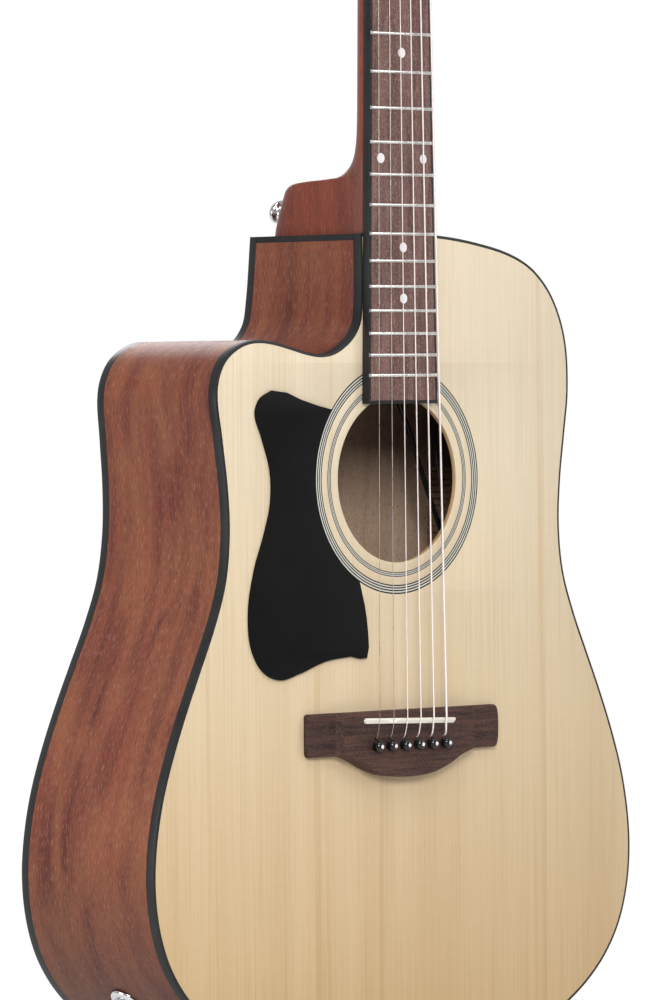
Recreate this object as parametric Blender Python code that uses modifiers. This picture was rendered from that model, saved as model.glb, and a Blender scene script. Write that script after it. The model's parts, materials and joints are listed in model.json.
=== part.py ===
"""A left-handed cutaway acoustic guitar, built piece by piece as it is put together."""

import math

import bmesh
import bpy
from mathutils import Matrix, Vector

MM = 0.001
GAP = 0.25 * MM  # between pieces that are glued or rest on each other

# Lengths along the instrument
SCALE_LENGTH = 634 * MM
SADDLE_FROM_NUT = 636.5 * MM
BODY_LENGTH = 508 * MM
BODY_FRET = 14
FRET_COUNT = 20
BOARD_LENGTH = 451 * MM
NUT_THICKNESS = 5 * MM
BUTTON_STAND = 11.5 * MM

# The frame: Z runs up the neck, the soundboard faces -Y, the tail button's flat end is the origin
TOP_FACE = -56 * MM
BODY_TOP = BUTTON_STAND + BODY_LENGTH
NUT_Z = BODY_TOP + SCALE_LENGTH * (1 - 2 ** (-BODY_FRET / 12))
SADDLE_Z = NUT_Z - SADDLE_FROM_NUT

# Body
HALF_OUTLINE = [  # half width and distance below the body's top end, from the tail up
    (0, 508), (55, 501), (105, 482.5), (141, 462), (161, 448.5), (176.5, 433.5), (188, 416),
    (195.3, 395), (198.2, 372), (197, 350), (192, 324.5), (183.8, 300), (173.3, 275), (161.5, 250),
    (149.8, 225), (141, 200), (137.8, 172), (139.3, 145), (143, 119), (146.5, 92),
]
BASS_SHOULDER = [(144, 60), (133.3, 36), (118, 20.5), (101, 12), (68, 4.3), (29.5, 0)]
CUTAWAY = [  # from the corner beside the neck, round the horn, to the upper bout
    (-29, 0), (-29.2, 40), (-30.6, 51), (-35.1, 58.5), (-41.5, 63.9), (-51.5, 68.8), (-62, 70.2),
    (-74, 68.7), (-86.5, 65.8), (-100, 63), (-111, 62), (-121, 63), (-130.4, 66.6), (-138.4, 72.4),
    (-143.8, 80.5),
]
CORNER_X = -29 * MM
PLATE_THICKNESS = 2.8 * MM
SIDE_THICKNESS = 2 * MM
BINDING_WIDTH = 1.8 * MM
BINDING_DEPTH = 6 * MM
END_STRIP = 3.6 * MM
LINING_WIDTH = 6 * MM
LINING_DEPTH = 14 * MM
LINING_INSET = SIDE_THICKNESS + GAP
BRACE_INSET = LINING_INSET + LINING_WIDTH + 0.8 * MM
HOLE_RADIUS = 49.1 * MM
HOLE_FROM_TOP = 143.4 * MM
ROSETTES = {"rosette_outer": (62.2 * MM, 67.6 * MM), "rosette_inner": (54.8 * MM, 57.5 * MM)}
ROSETTE_DEPTH = 1 * MM
CIRCLE_STEPS = 40
SHARP_ANGLE = 35
BRACE_HEIGHT = 14 * MM
X_BRACE_FROM_TOP = 234 * MM
X_BRACE_ANGLE = 48
BACK_BARS = (80 * MM, 218 * MM, 314 * MM, 406 * MM)

# Neck, fretboard and head
NUT_HALF = 21.3 * MM
BODY_FRET_HALF = 27.2 * MM
BOARD_RADIUS = 400 * MM
BOARD_THICKNESS = 6.5 * MM
BOARD_BINDING = 2 * MM
FRET_HEIGHT = 1 * MM
FRET_WIDTH = 2.2 * MM
HEAD_TILT = 14
HEAD_THICKNESS = 14.5 * MM
POST_ROWS = (42 * MM, 82 * MM, 122 * MM)
POST_X = 21.5 * MM
POST_RADIUS = 3 * MM
WORM_OFFSET = 7 * MM

# Strings, thin to thick, from the treble side (-X) to the bass side (+X)
STRING_DIAMETERS = [0.30 * MM, 0.41 * MM, 0.61 * MM, 0.81 * MM, 1.07 * MM, 1.35 * MM]
NUT_PITCH = 7.2 * MM
SADDLE_PITCH = 11 * MM
NUT_STRING = 7.9 * MM
SADDLE_STRING = 12.3 * MM
WRAP_TURNS = 2.5
WRAP_POINTS = 8

# Bridge
BRIDGE_HALF = 80.2 * MM
BRIDGE_THICKNESS = 9 * MM
WING_THICKNESS = 4 * MM
WING_STEP = 54 * MM
SADDLE_SLANT = math.radians(1.8)
SADDLE_LENGTH = 76 * MM
SADDLE_THICKNESS = 3.2 * MM
PIN_ROW_FROM_TOP = 299 * MM
PIN_RADIUS = 3.5 * MM
STRING_SLOT = 3.6 * MM

# Controls
PREAMP_FROM_TOP = 104 * MM
PREAMP_DEPTH = 50 * MM
PREAMP_TILT = math.radians(3.7)
PREAMP_X = 143.2 * MM
PANEL_FACE = 4 * MM
JACK_FROM_TOP = 441.5 * MM
JACK_DEPTH = 55 * MM

for old in list(bpy.data.objects):
    bpy.data.objects.remove(old, do_unlink=True)

guitar = bpy.data.collections.new("acoustic_guitar")
cutters = bpy.data.collections.new("cutters")
for each in (guitar, cutters):
    bpy.context.scene.collection.children.link(each)


def depth(value):
    """World Y of a distance behind the soundboard's face."""
    return TOP_FACE + value


def below(value):
    """World Z of a distance below the body's top end."""
    return BODY_TOP - value


def back_face(x, z):
    """World Y of the arched back's outer face."""
    down = BODY_TOP - z
    lengthwise = 0.0887 + 0.1124 * down - 0.1365 * down ** 2
    crosswise = 0.109 * (0.04 - x ** 2)
    return depth(lengthwise + crosswise)


def smooth(points, steps, before=None, after=None):
    """Points of a line that runs smoothly through the given ones."""
    given = [Vector(p) for p in points]
    first = Vector(before) if before else given[0] * 2 - given[1]
    last = Vector(after) if after else given[-1] * 2 - given[-2]
    line = [first] + given + [last]
    path = []
    for i in range(1, len(line) - 2):
        p0, p1, p2, p3 = line[i - 1:i + 3]
        chord = (p2 - p1).length
        out = chord * ((p1 - p0) / (p1 - p0).length + (p2 - p1) / chord) / 2
        arrive = chord * ((p2 - p1) / chord + (p3 - p2) / (p3 - p2).length) / 2
        for k in range(steps):
            t = k / steps
            path.append(
                p1 * (2 * t ** 3 - 3 * t ** 2 + 1) + out * (t ** 3 - 2 * t ** 2 + t)
                + p2 * (3 * t ** 2 - 2 * t ** 3) + arrive * (t ** 3 - t ** 2)
            )
    path.append(given[-1])
    return path


def inset(path, distance, closed):
    """The path moved to its left, with mitred corners."""
    moved = []
    count = len(path)
    for i, point in enumerate(path):
        before = path[i - 1] if closed or i > 0 else None
        after = path[(i + 1) % count] if closed or i < count - 1 else None
        directions = []
        if before is not None:
            directions.append((point - before).normalized())
        if after is not None:
            directions.append((after - point).normalized())
        normals = [Vector((-d.y, d.x)) for d in directions]
        normal = sum(normals, Vector((0, 0))).normalized()
        moved.append(point + normal * (distance / max(0.5, normal.dot(normals[0]))))
    return moved


def keep(obj, colour, roughness, metallic=0.0):
    """Puts a finished piece in the guitar, smooth where it is round, with its own material."""
    made = bpy.data.materials.new(obj.name)
    made.use_nodes = True
    shader = made.node_tree.nodes["Principled BSDF"]
    shader.inputs["Base Color"].default_value = (*colour, 1)
    shader.inputs["Roughness"].default_value = roughness
    shader.inputs["Metallic"].default_value = metallic
    obj.data.materials.clear()
    obj.data.materials.append(made)
    obj.data.shade_smooth()
    obj.data.set_sharp_from_angle(angle=math.radians(SHARP_ANGLE))
    guitar.objects.link(obj)
    return obj


def from_bmesh(name, bm, matrix=None):
    mesh = bpy.data.meshes.new(name)
    bmesh.ops.recalc_face_normals(bm, faces=bm.faces)
    bm.to_mesh(mesh)
    bm.free()
    obj = bpy.data.objects.new(name, mesh)
    obj.matrix_world = matrix or Matrix.Identity(4)
    return obj


def from_curve(name, curve, matrix=None):
    """A curve's solid as a mesh, so that it can be cut."""
    holder = bpy.data.objects.new(name, curve)
    cutters.objects.link(holder)
    graph = bpy.context.evaluated_depsgraph_get()
    mesh = bpy.data.meshes.new_from_object(holder.evaluated_get(graph))
    bpy.data.objects.remove(holder, do_unlink=True)
    bm = bmesh.new()
    bm.from_mesh(mesh)
    bmesh.ops.remove_doubles(bm, verts=bm.verts, dist=0.01 * MM)
    return from_bmesh(name, bm, matrix)


def box(name, size, centre, matrix=None):
    bm = bmesh.new()
    bmesh.ops.create_cube(bm, size=1)
    bmesh.ops.scale(bm, vec=size, verts=bm.verts)
    bmesh.ops.translate(bm, vec=centre, verts=bm.verts)
    return from_bmesh(name, bm, matrix)


def cylinder(name, radius, low, high, segments, matrix=None):
    """A cylinder along its own Z."""
    bm = bmesh.new()
    bmesh.ops.create_cone(
        bm, cap_ends=True, segments=segments, radius1=radius, radius2=radius, depth=high - low
    )
    bmesh.ops.translate(bm, vec=(0, 0, (low + high) / 2), verts=bm.verts)
    return from_bmesh(name, bm, matrix)


def turned(name, profile, steps, matrix=None):
    """A piece turned about its own Z: radius and height, from the top down."""
    mesh = bpy.data.meshes.new(name)
    edges = [(i, i + 1) for i in range(len(profile) - 1)]
    mesh.from_pydata([(r, 0, h) for r, h in profile], edges, [])
    obj = bpy.data.objects.new(name, mesh)
    obj.matrix_world = matrix or Matrix.Identity(4)
    screw = obj.modifiers.new("turn", "SCREW")
    screw.steps = steps
    screw.render_steps = steps
    screw.use_smooth_shade = True
    screw.use_merge_vertices = True
    screw.merge_threshold = 0.00001
    return obj


def plate(name, outlines, front, back):
    """A flat piece with holes: outlines in X and Z, cut through from front to back."""
    curve = bpy.data.curves.new(name, "CURVE")
    curve.dimensions = "2D"
    curve.fill_mode = "BOTH"
    curve.extrude = (back - front) / 2
    for outline in outlines:
        spline = curve.splines.new("POLY")
        spline.points.add(len(outline) - 1)
        for point, (x, z) in zip(spline.points, outline):
            point.co = (x, z, 0, 1)
        spline.use_cyclic_u = True
    centre = Matrix.Translation((0, (front + back) / 2, 0))
    return from_curve(name, curve, centre @ Matrix.Rotation(math.pi / 2, 4, "X"))


def loft(name, sections, closed=False, matrix=None):
    """A skin over a row of sections that have the same number of points."""
    bm = bmesh.new()
    rings = [[bm.verts.new(p) for p in section] for section in sections]
    following = rings[1:] + rings[:1] if closed else rings[1:]
    for a, b in zip(rings, following):
        for i in range(len(a)):
            j = (i + 1) % len(a)
            bm.faces.new((a[i], a[j], b[j], b[i]))
    if not closed:
        bm.faces.new(rings[0])
        bm.faces.new(rings[-1])
    return from_bmesh(name, bm, matrix)


def band(name, path, start, end, front, back, closed):
    """A strip that follows the body's outline between two insets and two depths."""
    sections = []
    for outer, inner in zip(inset(path, start, closed), inset(path, end, closed)):
        sections.append([
            (outer.x, front(outer.x, outer.y), outer.y), (outer.x, back(outer.x, outer.y), outer.y),
            (inner.x, back(inner.x, inner.y), inner.y), (inner.x, front(inner.x, inner.y), inner.y),
        ])
    return loft(name, sections, closed)


def tube(name, points, radius, resolution=1):
    """A wire or lead along a line of points."""
    curve = bpy.data.curves.new(name, "CURVE")
    curve.dimensions = "3D"
    curve.bevel_depth = radius
    curve.bevel_resolution = resolution
    curve.use_fill_caps = True
    spline = curve.splines.new("POLY")
    spline.points.add(len(points) - 1)
    for point, place in zip(spline.points, points):
        point.co = (*place, 1)
    return from_curve(name, curve)


def combine(obj, other, operation):
    """Joins, cuts or trims a piece with another, which stays hidden."""
    other.hide_render = True
    other.display_type = "WIRE"
    if other.name not in cutters.objects:
        cutters.objects.link(other)
    change = obj.modifiers.new(operation.lower(), "BOOLEAN")
    change.operation = operation
    change.solver = "EXACT"
    change.object = other
    return obj


def bevelled(obj, width, segments=1, angle=40):
    edge = obj.modifiers.new("bevel", "BEVEL")
    edge.width = width
    edge.segments = segments
    edge.limit_method = "ANGLE"
    edge.angle_limit = math.radians(angle)
    return obj


def circle(radius, x, z, count):
    angles = [2 * math.pi * i / count for i in range(count)]
    return [(x + radius * math.cos(a), z + radius * math.sin(a)) for a in angles]


def scaled(points):
    """Half width and distance below the body's top, in mm, as world X and Z."""
    return [Vector((x * MM, below(d * MM))) for x, d in points]


# The body's outline, anticlockwise from the tail
half = scaled(HALF_OUTLINE)
mirrored = [Vector((-p.x, p.y)) for p in half]
shoulder = scaled(BASS_SHOULDER)
cutaway = scaled(CUTAWAY)
OUTLINE_STEPS = 2
BASS_PATH = smooth(half + shoulder, OUTLINE_STEPS, before=mirrored[1], after=(20 * MM, below(0)))
TREBLE_PATH = smooth(cutaway + mirrored[::-1], OUTLINE_STEPS, after=half[1])
OUTLINE = BASS_PATH + TREBLE_PATH[:-1]
LINING = TREBLE_PATH[3:] + BASS_PATH[1:-2]  # from the cutaway round the tail to the bass shoulder


def front_edge(distance):
    return lambda x, z: depth(distance)


def back_edge(distance):
    return lambda x, z: back_face(x, z) - distance


def back_slab(name, distance, thickness):
    """A sheet that follows the arched back at a distance inside its outer face."""
    bm = bmesh.new()
    bmesh.ops.create_grid(bm, x_segments=8, y_segments=12, size=1)
    for v in bm.verts:
        x = v.co.x * 230 * MM
        z = BODY_TOP - BODY_LENGTH / 2 + v.co.y * 280 * MM
        v.co = (x, back_face(x, z) - distance, z)
    bmesh.ops.reverse_faces(bm, faces=bm.faces)
    mesh = bpy.data.meshes.new(name)
    bm.to_mesh(mesh)
    bm.free()
    obj = bpy.data.objects.new(name, mesh)
    solid = obj.modifiers.new("thickness", "SOLIDIFY")
    solid.thickness = thickness
    solid.offset = -1
    return obj


CREAM = (0.82, 0.70, 0.50)
MAHOGANY = (0.26, 0.09, 0.05)
SPRUCE = (0.72, 0.58, 0.38)
BLACK = (0.02, 0.02, 0.02)
ROSEWOOD = (0.11, 0.06, 0.05)
CHROME = (0.62, 0.62, 0.63)
BONE = (0.85, 0.82, 0.72)
GREY = (0.30, 0.29, 0.27)

# Soundboard, with the sound hole and the rosette's two grooves
HOLE_Z = below(HOLE_FROM_TOP)
plate_path = inset(OUTLINE, BINDING_WIDTH + GAP, True)
soundboard = plate(
    "soundboard", [plate_path, circle(HOLE_RADIUS, 0, HOLE_Z, CIRCLE_STEPS)], depth(0), depth(PLATE_THICKNESS)
)
for ring_name, (low, high) in ROSETTES.items():
    ring = plate(
        ring_name, [circle(high, 0, HOLE_Z, CIRCLE_STEPS), circle(low, 0, HOLE_Z, CIRCLE_STEPS)],
        depth(0), depth(ROSETTE_DEPTH),
    )
    keep(ring, (0.25, 0.24, 0.22), 0.4)
    groove = plate(
        ring_name + "_groove",
        [circle(high + GAP, 0, HOLE_Z, CIRCLE_STEPS), circle(low - GAP, 0, HOLE_Z, CIRCLE_STEPS)],
        depth(-1 * MM), depth(ROSETTE_DEPTH + GAP),
    )
    combine(soundboard, groove, "DIFFERENCE")
keep(soundboard, CREAM, 0.5)

# Back
back = plate("back_plate", [plate_path], depth(70 * MM), depth(140 * MM))
combine(back, back_slab("back_sheet", 0, PLATE_THICKNESS), "INTERSECT")
keep(back, MAHOGANY, 0.55)

# Sides: the bass side runs on across the neck joint, the treble side follows the cutaway
side_edges = (front_edge(BINDING_DEPTH + GAP), back_edge(BINDING_DEPTH + GAP))
TAIL_SEAM = 0.2 * MM
bass_run = [Vector((TAIL_SEAM, BASS_PATH[0].y))] + BASS_PATH[1:]
bass_run.append(Vector((CORNER_X + BINDING_WIDTH + GAP, BODY_TOP)))
treble_run = [Vector((CORNER_X, BODY_TOP - END_STRIP - GAP))] + TREBLE_PATH[1:-1]
treble_run.append(Vector((-TAIL_SEAM, TREBLE_PATH[-1].y)))
side_bass = band("side_bass", bass_run, 0, SIDE_THICKNESS, *side_edges, False)
side_treble = band("side_treble", treble_run, 0, SIDE_THICKNESS, *side_edges, False)

# Bindings
keep(band("binding_front", OUTLINE, 0, BINDING_WIDTH, front_edge(0), front_edge(BINDING_DEPTH), True),
     BLACK, 0.4)
keep(band("binding_back", OUTLINE, 0, BINDING_WIDTH, back_edge(BINDING_DEPTH), back_edge(0), True),
     BLACK, 0.4)
strip_front = depth(BINDING_DEPTH + GAP)
strip_back = back_face(CORNER_X, BODY_TOP) - BINDING_DEPTH - GAP
keep(box(
    "binding_cutaway_end", (BINDING_WIDTH, strip_back - strip_front, END_STRIP),
    (CORNER_X + BINDING_WIDTH / 2, (strip_front + strip_back) / 2, BODY_TOP - END_STRIP / 2),
), BLACK, 0.4)

# Linings, glued inside the corners of sides and plates
LINING_FRONT = PLATE_THICKNESS + GAP
keep(band("lining_front", LINING, LINING_INSET, LINING_INSET + LINING_WIDTH,
          front_edge(LINING_FRONT), front_edge(LINING_FRONT + LINING_DEPTH), False), SPRUCE, 0.7)
keep(band("lining_back", LINING, LINING_INSET, LINING_INSET + LINING_WIDTH,
          back_edge(LINING_FRONT + LINING_DEPTH), back_edge(LINING_FRONT), False), SPRUCE, 0.7)

# Neck block and tail block
block_front = depth(LINING_FRONT)
neck_back = back_face(30 * MM, BODY_TOP) - PLATE_THICKNESS - GAP
BLOCK_LEFT, BLOCK_RIGHT, BLOCK_LENGTH = -26.5 * MM, 30 * MM, 42 * MM
keep(box(
    "neck_block", (BLOCK_RIGHT - BLOCK_LEFT, neck_back - block_front, BLOCK_LENGTH),
    ((BLOCK_LEFT + BLOCK_RIGHT) / 2, (block_front + neck_back) / 2,
     BODY_TOP - LINING_INSET - BLOCK_LENGTH / 2),
), SPRUCE, 0.7)
TAIL_HALF = 38 * MM
TAIL_DEEP = 26 * MM
TAIL_CLEAR = 13 * MM  # how far the block's full width stays from the tail, inside the linings
TAIL_TONGUE = 8 * MM
tail_back = back_face(TAIL_HALF, below(BODY_LENGTH)) - PLATE_THICKNESS - GAP
tail_block = box(
    "tail_block", (2 * TAIL_HALF, tail_back - block_front, TAIL_DEEP - TAIL_CLEAR),
    (0, (block_front + tail_back) / 2, BUTTON_STAND + (TAIL_DEEP + TAIL_CLEAR) / 2),
)
tail_middle = box(
    "tail_middle",
    (2 * TAIL_HALF, tail_back - block_front - 2 * LINING_DEPTH - 2 * MM, TAIL_DEEP - TAIL_TONGUE),
    (0, (block_front + tail_back) / 2, BUTTON_STAND + TAIL_DEEP / 2),
)
tail_shape = plate("tail_shape", [inset(OUTLINE, LINING_INSET, True)], depth(0), depth(120 * MM))
combine(tail_block, tail_middle, "UNION")
combine(tail_block, tail_shape, "INTERSECT")
keep(tail_block, SPRUCE, 0.7)

# Bracing under the soundboard
inside = plate("inside", [inset(OUTLINE, BRACE_INSET, True)], depth(0), depth(125 * MM))
brace_middle = depth(LINING_FRONT + BRACE_HEIGHT / 2)
BRACE_WIDTH = 7 * MM


def bar(name, x, from_top, length, degrees, width=BRACE_WIDTH, height=BRACE_HEIGHT):
    """A brace on the soundboard's inner face, turned away from upright."""
    place = Matrix.Translation((x, depth(LINING_FRONT + height / 2), below(from_top)))
    turn = Matrix.Rotation(math.radians(degrees), 4, "Y")
    return box(name, (width, height, length), (0, 0, 0), place @ turn)


x_brace = bar("x_brace", 0, X_BRACE_FROM_TOP, 520 * MM, X_BRACE_ANGLE)
combine(x_brace, bar("x_arm", 0, X_BRACE_FROM_TOP, 520 * MM, -X_BRACE_ANGLE, height=13 * MM), "UNION")
combine(x_brace, bar("tone_bar_upper", 14 * MM, 362 * MM, 226 * MM, 58, height=10 * MM), "UNION")
combine(x_brace, bar("tone_bar_lower", 4 * MM, 410 * MM, 304 * MM, 66, height=9 * MM), "UNION")
combine(x_brace, inside, "INTERSECT")
keep(x_brace, SPRUCE, 0.7)
upper_brace = bar("upper_brace", 0, 88 * MM, 236 * MM, 90, width=9 * MM)
keep(combine(upper_brace, inside, "INTERSECT"), SPRUCE, 0.7)
PLATE_TOP, PLATE_BOTTOM, PLATE_HALF = 283 * MM, 320 * MM, 44 * MM
bridge_plate = box(
    "bridge_plate", (2 * PLATE_HALF, 2.5 * MM, PLATE_BOTTOM - PLATE_TOP),
    (0, depth(LINING_FRONT + 1.25 * MM), below((PLATE_TOP + PLATE_BOTTOM) / 2)),
)

# Bracing on the back: a flat strip along the middle and four bars across it
STRIP_STEP = 0.25 * MM  # keeps the strip's outer face apart from the bars' outer faces
back_bracing = box(
    "back_bracing", (20 * MM, 60 * MM, 424 * MM), (0, depth(95 * MM), below(262 * MM)),
)
combine(back_bracing, back_slab("strip_sheet", PLATE_THICKNESS + GAP + STRIP_STEP, 3 * MM), "INTERSECT")
bars = box("back_bar_1", (330 * MM, 60 * MM, 8 * MM), (0, depth(95 * MM), below(BACK_BARS[0])))
for number, from_top in enumerate(BACK_BARS[1:], 2):
    more = box("back_bar_%d" % number, (420 * MM, 60 * MM, 8 * MM), (0, depth(95 * MM), below(from_top)))
    combine(bars, more, "UNION")
combine(bars, back_slab("bar_sheet", PLATE_THICKNESS + GAP, 11 * MM), "INTERSECT")
combine(bars, inside, "INTERSECT")
combine(back_bracing, bars, "UNION")
keep(back_bracing, SPRUCE, 0.7)

# Pickguard: a thin sheet beside the sound hole, hollowed to clear the rosette
GUARD = [
    (-103, 91), (-112.5, 96), (-116, 104), (-110.6, 119), (-104.5, 137), (-104.2, 155), (-109.5, 173.5),
    (-117.3, 193), (-122.6, 218), (-120.4, 239.6), (-111, 253.2), (-98, 258), (-83, 255), (-61, 248.4),
    (-40.5, 246.2),
]
guard_line = smooth([(x * MM, below(d * MM)) for x, d in GUARD], 2)
guard_edge = [(-27.6 * MM, below(247.6 * MM)), (-26.5 * MM, below(233 * MM)), (-29 * MM, below(217 * MM))]
arc = []
GUARD_RADIUS = ROSETTES["rosette_outer"][1] + 0.6 * MM
GUARD_ARC_START, GUARD_ARC_TURN = 241, 98
for step in range(13):
    angle = math.radians(GUARD_ARC_START - GUARD_ARC_TURN * step / 12)
    arc.append((GUARD_RADIUS * math.cos(angle), HOLE_Z + GUARD_RADIUS * math.sin(angle)))
guard_top = [(-66 * MM, below(100 * MM)), (-80 * MM, below(96.3 * MM)), (-91 * MM, below(92.3 * MM))]
guard = plate(
    "pickguard", [[tuple(p) for p in guard_line] + guard_edge + arc + guard_top],
    depth(-1.6 * MM), depth(-GAP),
)
keep(guard, BLACK, 0.35)

# Bridge, with its pins, a slot for the saddle and a slot for each string
BRIDGE_CONTROL = [
    (80.2, 278.6), (80.2, 303.8), (62, 303.8), (53, 304.2), (44, 307), (34, 311.8), (20, 316.2), (0, 317.8),
]
lower_edge = smooth([(x * MM, below(d * MM)) for x, d in BRIDGE_CONTROL[1:]], 2)
bridge_right = [(BRIDGE_HALF, below(278.6 * MM))] + [tuple(p) for p in lower_edge]
bridge_left = [(-x, z) for x, z in bridge_right[-2::-1]]
bridge = plate("bridge", [bridge_right + bridge_left], depth(-WING_THICKNESS), depth(-GAP))
centre_right = [(WING_STEP, below(278.6 * MM)), (WING_STEP, below(304.4 * MM))]
centre_right += [tuple(p) for p in lower_edge if p[0] < 50 * MM]
centre_left = [(-x, z) for x, z in centre_right[-2::-1]]
bridge_centre = plate(
    "bridge_centre", [centre_right + centre_left], depth(-BRIDGE_THICKNESS), depth(-1 * MM)
)
bevelled(bridge_centre, 3 * MM, 2)
bevelled(bridge, 1 * MM)
combine(bridge, bridge_centre, "UNION")


def across(index, pitch):
    """X of a string, counted from the treble side."""
    return (index - 2.5) * pitch


def arch(x):
    """How far the fretboard's curve has dropped at a distance from its middle."""
    return x ** 2 / (2 * BOARD_RADIUS)


PIN_PITCH = 11.3 * MM
PIN_HEAD = [(0, 5.4), (2.4, 4.8), (3.5, 2.6), (2.8, 0.3), (2.4, -14.6), (0, -14.6)]
pins = []
saddle_place = Matrix.Translation((0, 0, SADDLE_Z)) @ Matrix.Rotation(SADDLE_SLANT, 4, "Y")
slots = bmesh.new()
for index in range(6):
    x = across(index, PIN_PITCH)
    pin_place = Matrix.Translation((x, depth(-BRIDGE_THICKNESS), below(PIN_ROW_FROM_TOP)))
    pin = turned(
        "pin_%d" % (index + 1), [(r * MM, h * MM) for r, h in PIN_HEAD], 8,
        pin_place @ Matrix.Rotation(math.pi / 2, 4, "X"),
    )
    pins.append(pin)
    combine(bridge, pin, "UNION")
    made = bmesh.ops.create_cube(slots, size=1)["verts"]
    bmesh.ops.scale(slots, vec=(2.4 * MM, 60 * MM, STRING_SLOT), verts=made)
    slot_z = below(PIN_ROW_FROM_TOP) + PIN_RADIUS + STRING_SLOT / 2 - 1.2 * MM
    bmesh.ops.translate(slots, vec=(x, depth(-2 * MM), slot_z), verts=made)
string_slots = from_bmesh("string_slots", slots)
pin_holes = bmesh.new()
for index in range(6):
    made = bmesh.ops.create_cone(
        pin_holes, cap_ends=True, segments=10, radius1=2.4 * MM + GAP, radius2=2.4 * MM + GAP, depth=40 * MM
    )["verts"]
    bmesh.ops.rotate(pin_holes, cent=(0, 0, 0), matrix=Matrix.Rotation(math.pi / 2, 3, "X"), verts=made)
    bmesh.ops.translate(
        pin_holes, vec=(across(index, PIN_PITCH), depth(10 * MM), below(PIN_ROW_FROM_TOP)), verts=made
    )
pin_bores = from_bmesh("pin_bores", pin_holes)
saddle_slot = box(
    "saddle_slot", (SADDLE_LENGTH + 2 * GAP, 8 * MM, SADDLE_THICKNESS + 2 * GAP),
    (0, depth(-7.5 * MM), 0), saddle_place,
)
LEAD_X = 30 * MM
LEAD_RADIUS = 0.9 * MM
lead_z = SADDLE_Z - LEAD_X * math.tan(SADDLE_SLANT)
LEAD_HOLE = 3 * MM
lead_hole = box(
    "lead_hole", (LEAD_HOLE, 30 * MM, 2.8 * MM), (LEAD_X, depth(5 * MM), lead_z),
)
combine(bridge, string_slots, "DIFFERENCE")
combine(bridge, saddle_slot, "DIFFERENCE")
combine(bridge, lead_hole, "DIFFERENCE")
keep(bridge, ROSEWOOD, 0.6)
for piece in (soundboard, bridge_plate):
    combine(piece, pin_bores, "DIFFERENCE")
    combine(piece, string_slots, "DIFFERENCE")
    combine(piece, lead_hole, "DIFFERENCE")
keep(bridge_plate, ROSEWOOD, 0.7)

# Saddle, with a curved top, on the pickup strip at the bottom of its slot
saddle_sections = []
for k in range(7):
    x = SADDLE_LENGTH * (k / 6 - 0.5)
    top = depth(-(SADDLE_STRING - GAP - arch(x)))
    foot = depth(-5.2 * MM)
    t = SADDLE_THICKNESS / 2
    saddle_sections.append([(x, foot, -t), (x, top + 0.7 * MM, -t), (x, top, 0),
                            (x, top + 0.7 * MM, t), (x, foot, t)])
keep(loft("saddle", saddle_sections, matrix=saddle_place), BONE, 0.4)
pickup = box(
    "saddle_pickup", (SADDLE_LENGTH - 4 * MM, 1.4 * MM, 2.4 * MM), (0, depth(-4.4 * MM), 0), saddle_place
)

# Preamp in the upper bass side: a case behind a panel that fits the side's curve
preamp_place = Matrix.Translation((PREAMP_X, depth(PREAMP_DEPTH), below(PREAMP_FROM_TOP))) @ Matrix.Rotation(
    PREAMP_TILT, 4, "Y"
)
CASE = (50 * MM, 38 * MM, 76 * MM)  # into the body, across the side, along it
PANEL = (46 * MM, 86 * MM)
TRAY = (34 * MM, 26 * MM, 17 * MM)
TRAY_Z = -24 * MM
panel = box("preamp_case", (2 * PANEL_FACE, PANEL[0], PANEL[1]), (0, 0, 0), preamp_place)
outer_skin = plate("outer_skin", [inset(OUTLINE, -GAP, True)], depth(0), depth(110 * MM))
combine(panel, outer_skin, "DIFFERENCE")
case_box = box("case_box", CASE, (PANEL_FACE - 1 * MM - CASE[0] / 2, 0, 0), preamp_place)
combine(panel, case_box, "UNION")
tray_room = box(
    "tray_room", (TRAY[0] + 2 * MM, TRAY[1] + 1 * MM, TRAY[2] + 1 * MM),
    (PANEL_FACE - TRAY[0] / 2 + 1 * MM, 0, TRAY_Z), preamp_place,
)
combine(panel, tray_room, "DIFFERENCE")
side_opening = box(
    "side_opening", (40 * MM, CASE[1] + 1 * MM, CASE[2] + 1 * MM), (0, 0, 0), preamp_place
)
combine(side_bass, side_opening, "DIFFERENCE")
tray_place = preamp_place @ Matrix.Translation((PANEL_FACE, 0, TRAY_Z))
tray = box("battery_tray", (TRAY[0] + 1 * MM, TRAY[1], TRAY[2]), (0.5 * MM - TRAY[0] / 2, 0, 0), tray_place)
tray_lip = box(
    "tray_lip", (2 * MM, TRAY[1] + 5 * MM, TRAY[2] + 5 * MM), (1 * MM + GAP, 0, 0), tray_place
)
tray_hollow = box(
    "tray_hollow", (TRAY[0] - 4 * MM, TRAY[1] - 3 * MM, TRAY[2]),
    (-TRAY[0] / 2, 0, 2 * MM), tray_place,
)
combine(tray, tray_lip, "UNION")
combine(tray, tray_hollow, "DIFFERENCE")
keep(tray, BLACK, 0.5)
UPRIGHT_X = Matrix.Rotation(math.pi / 2, 4, "Y")  # a turned piece's top towards the panel's outside
KNOB_PROFILE = [(0, 9), (5.4, 9), (6.2, 8.2), (6.8, 1), (6.8, 0.4), (0, 0.4)]
KNOB_Z = 24 * MM
KNOB_Y = 9 * MM
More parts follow.
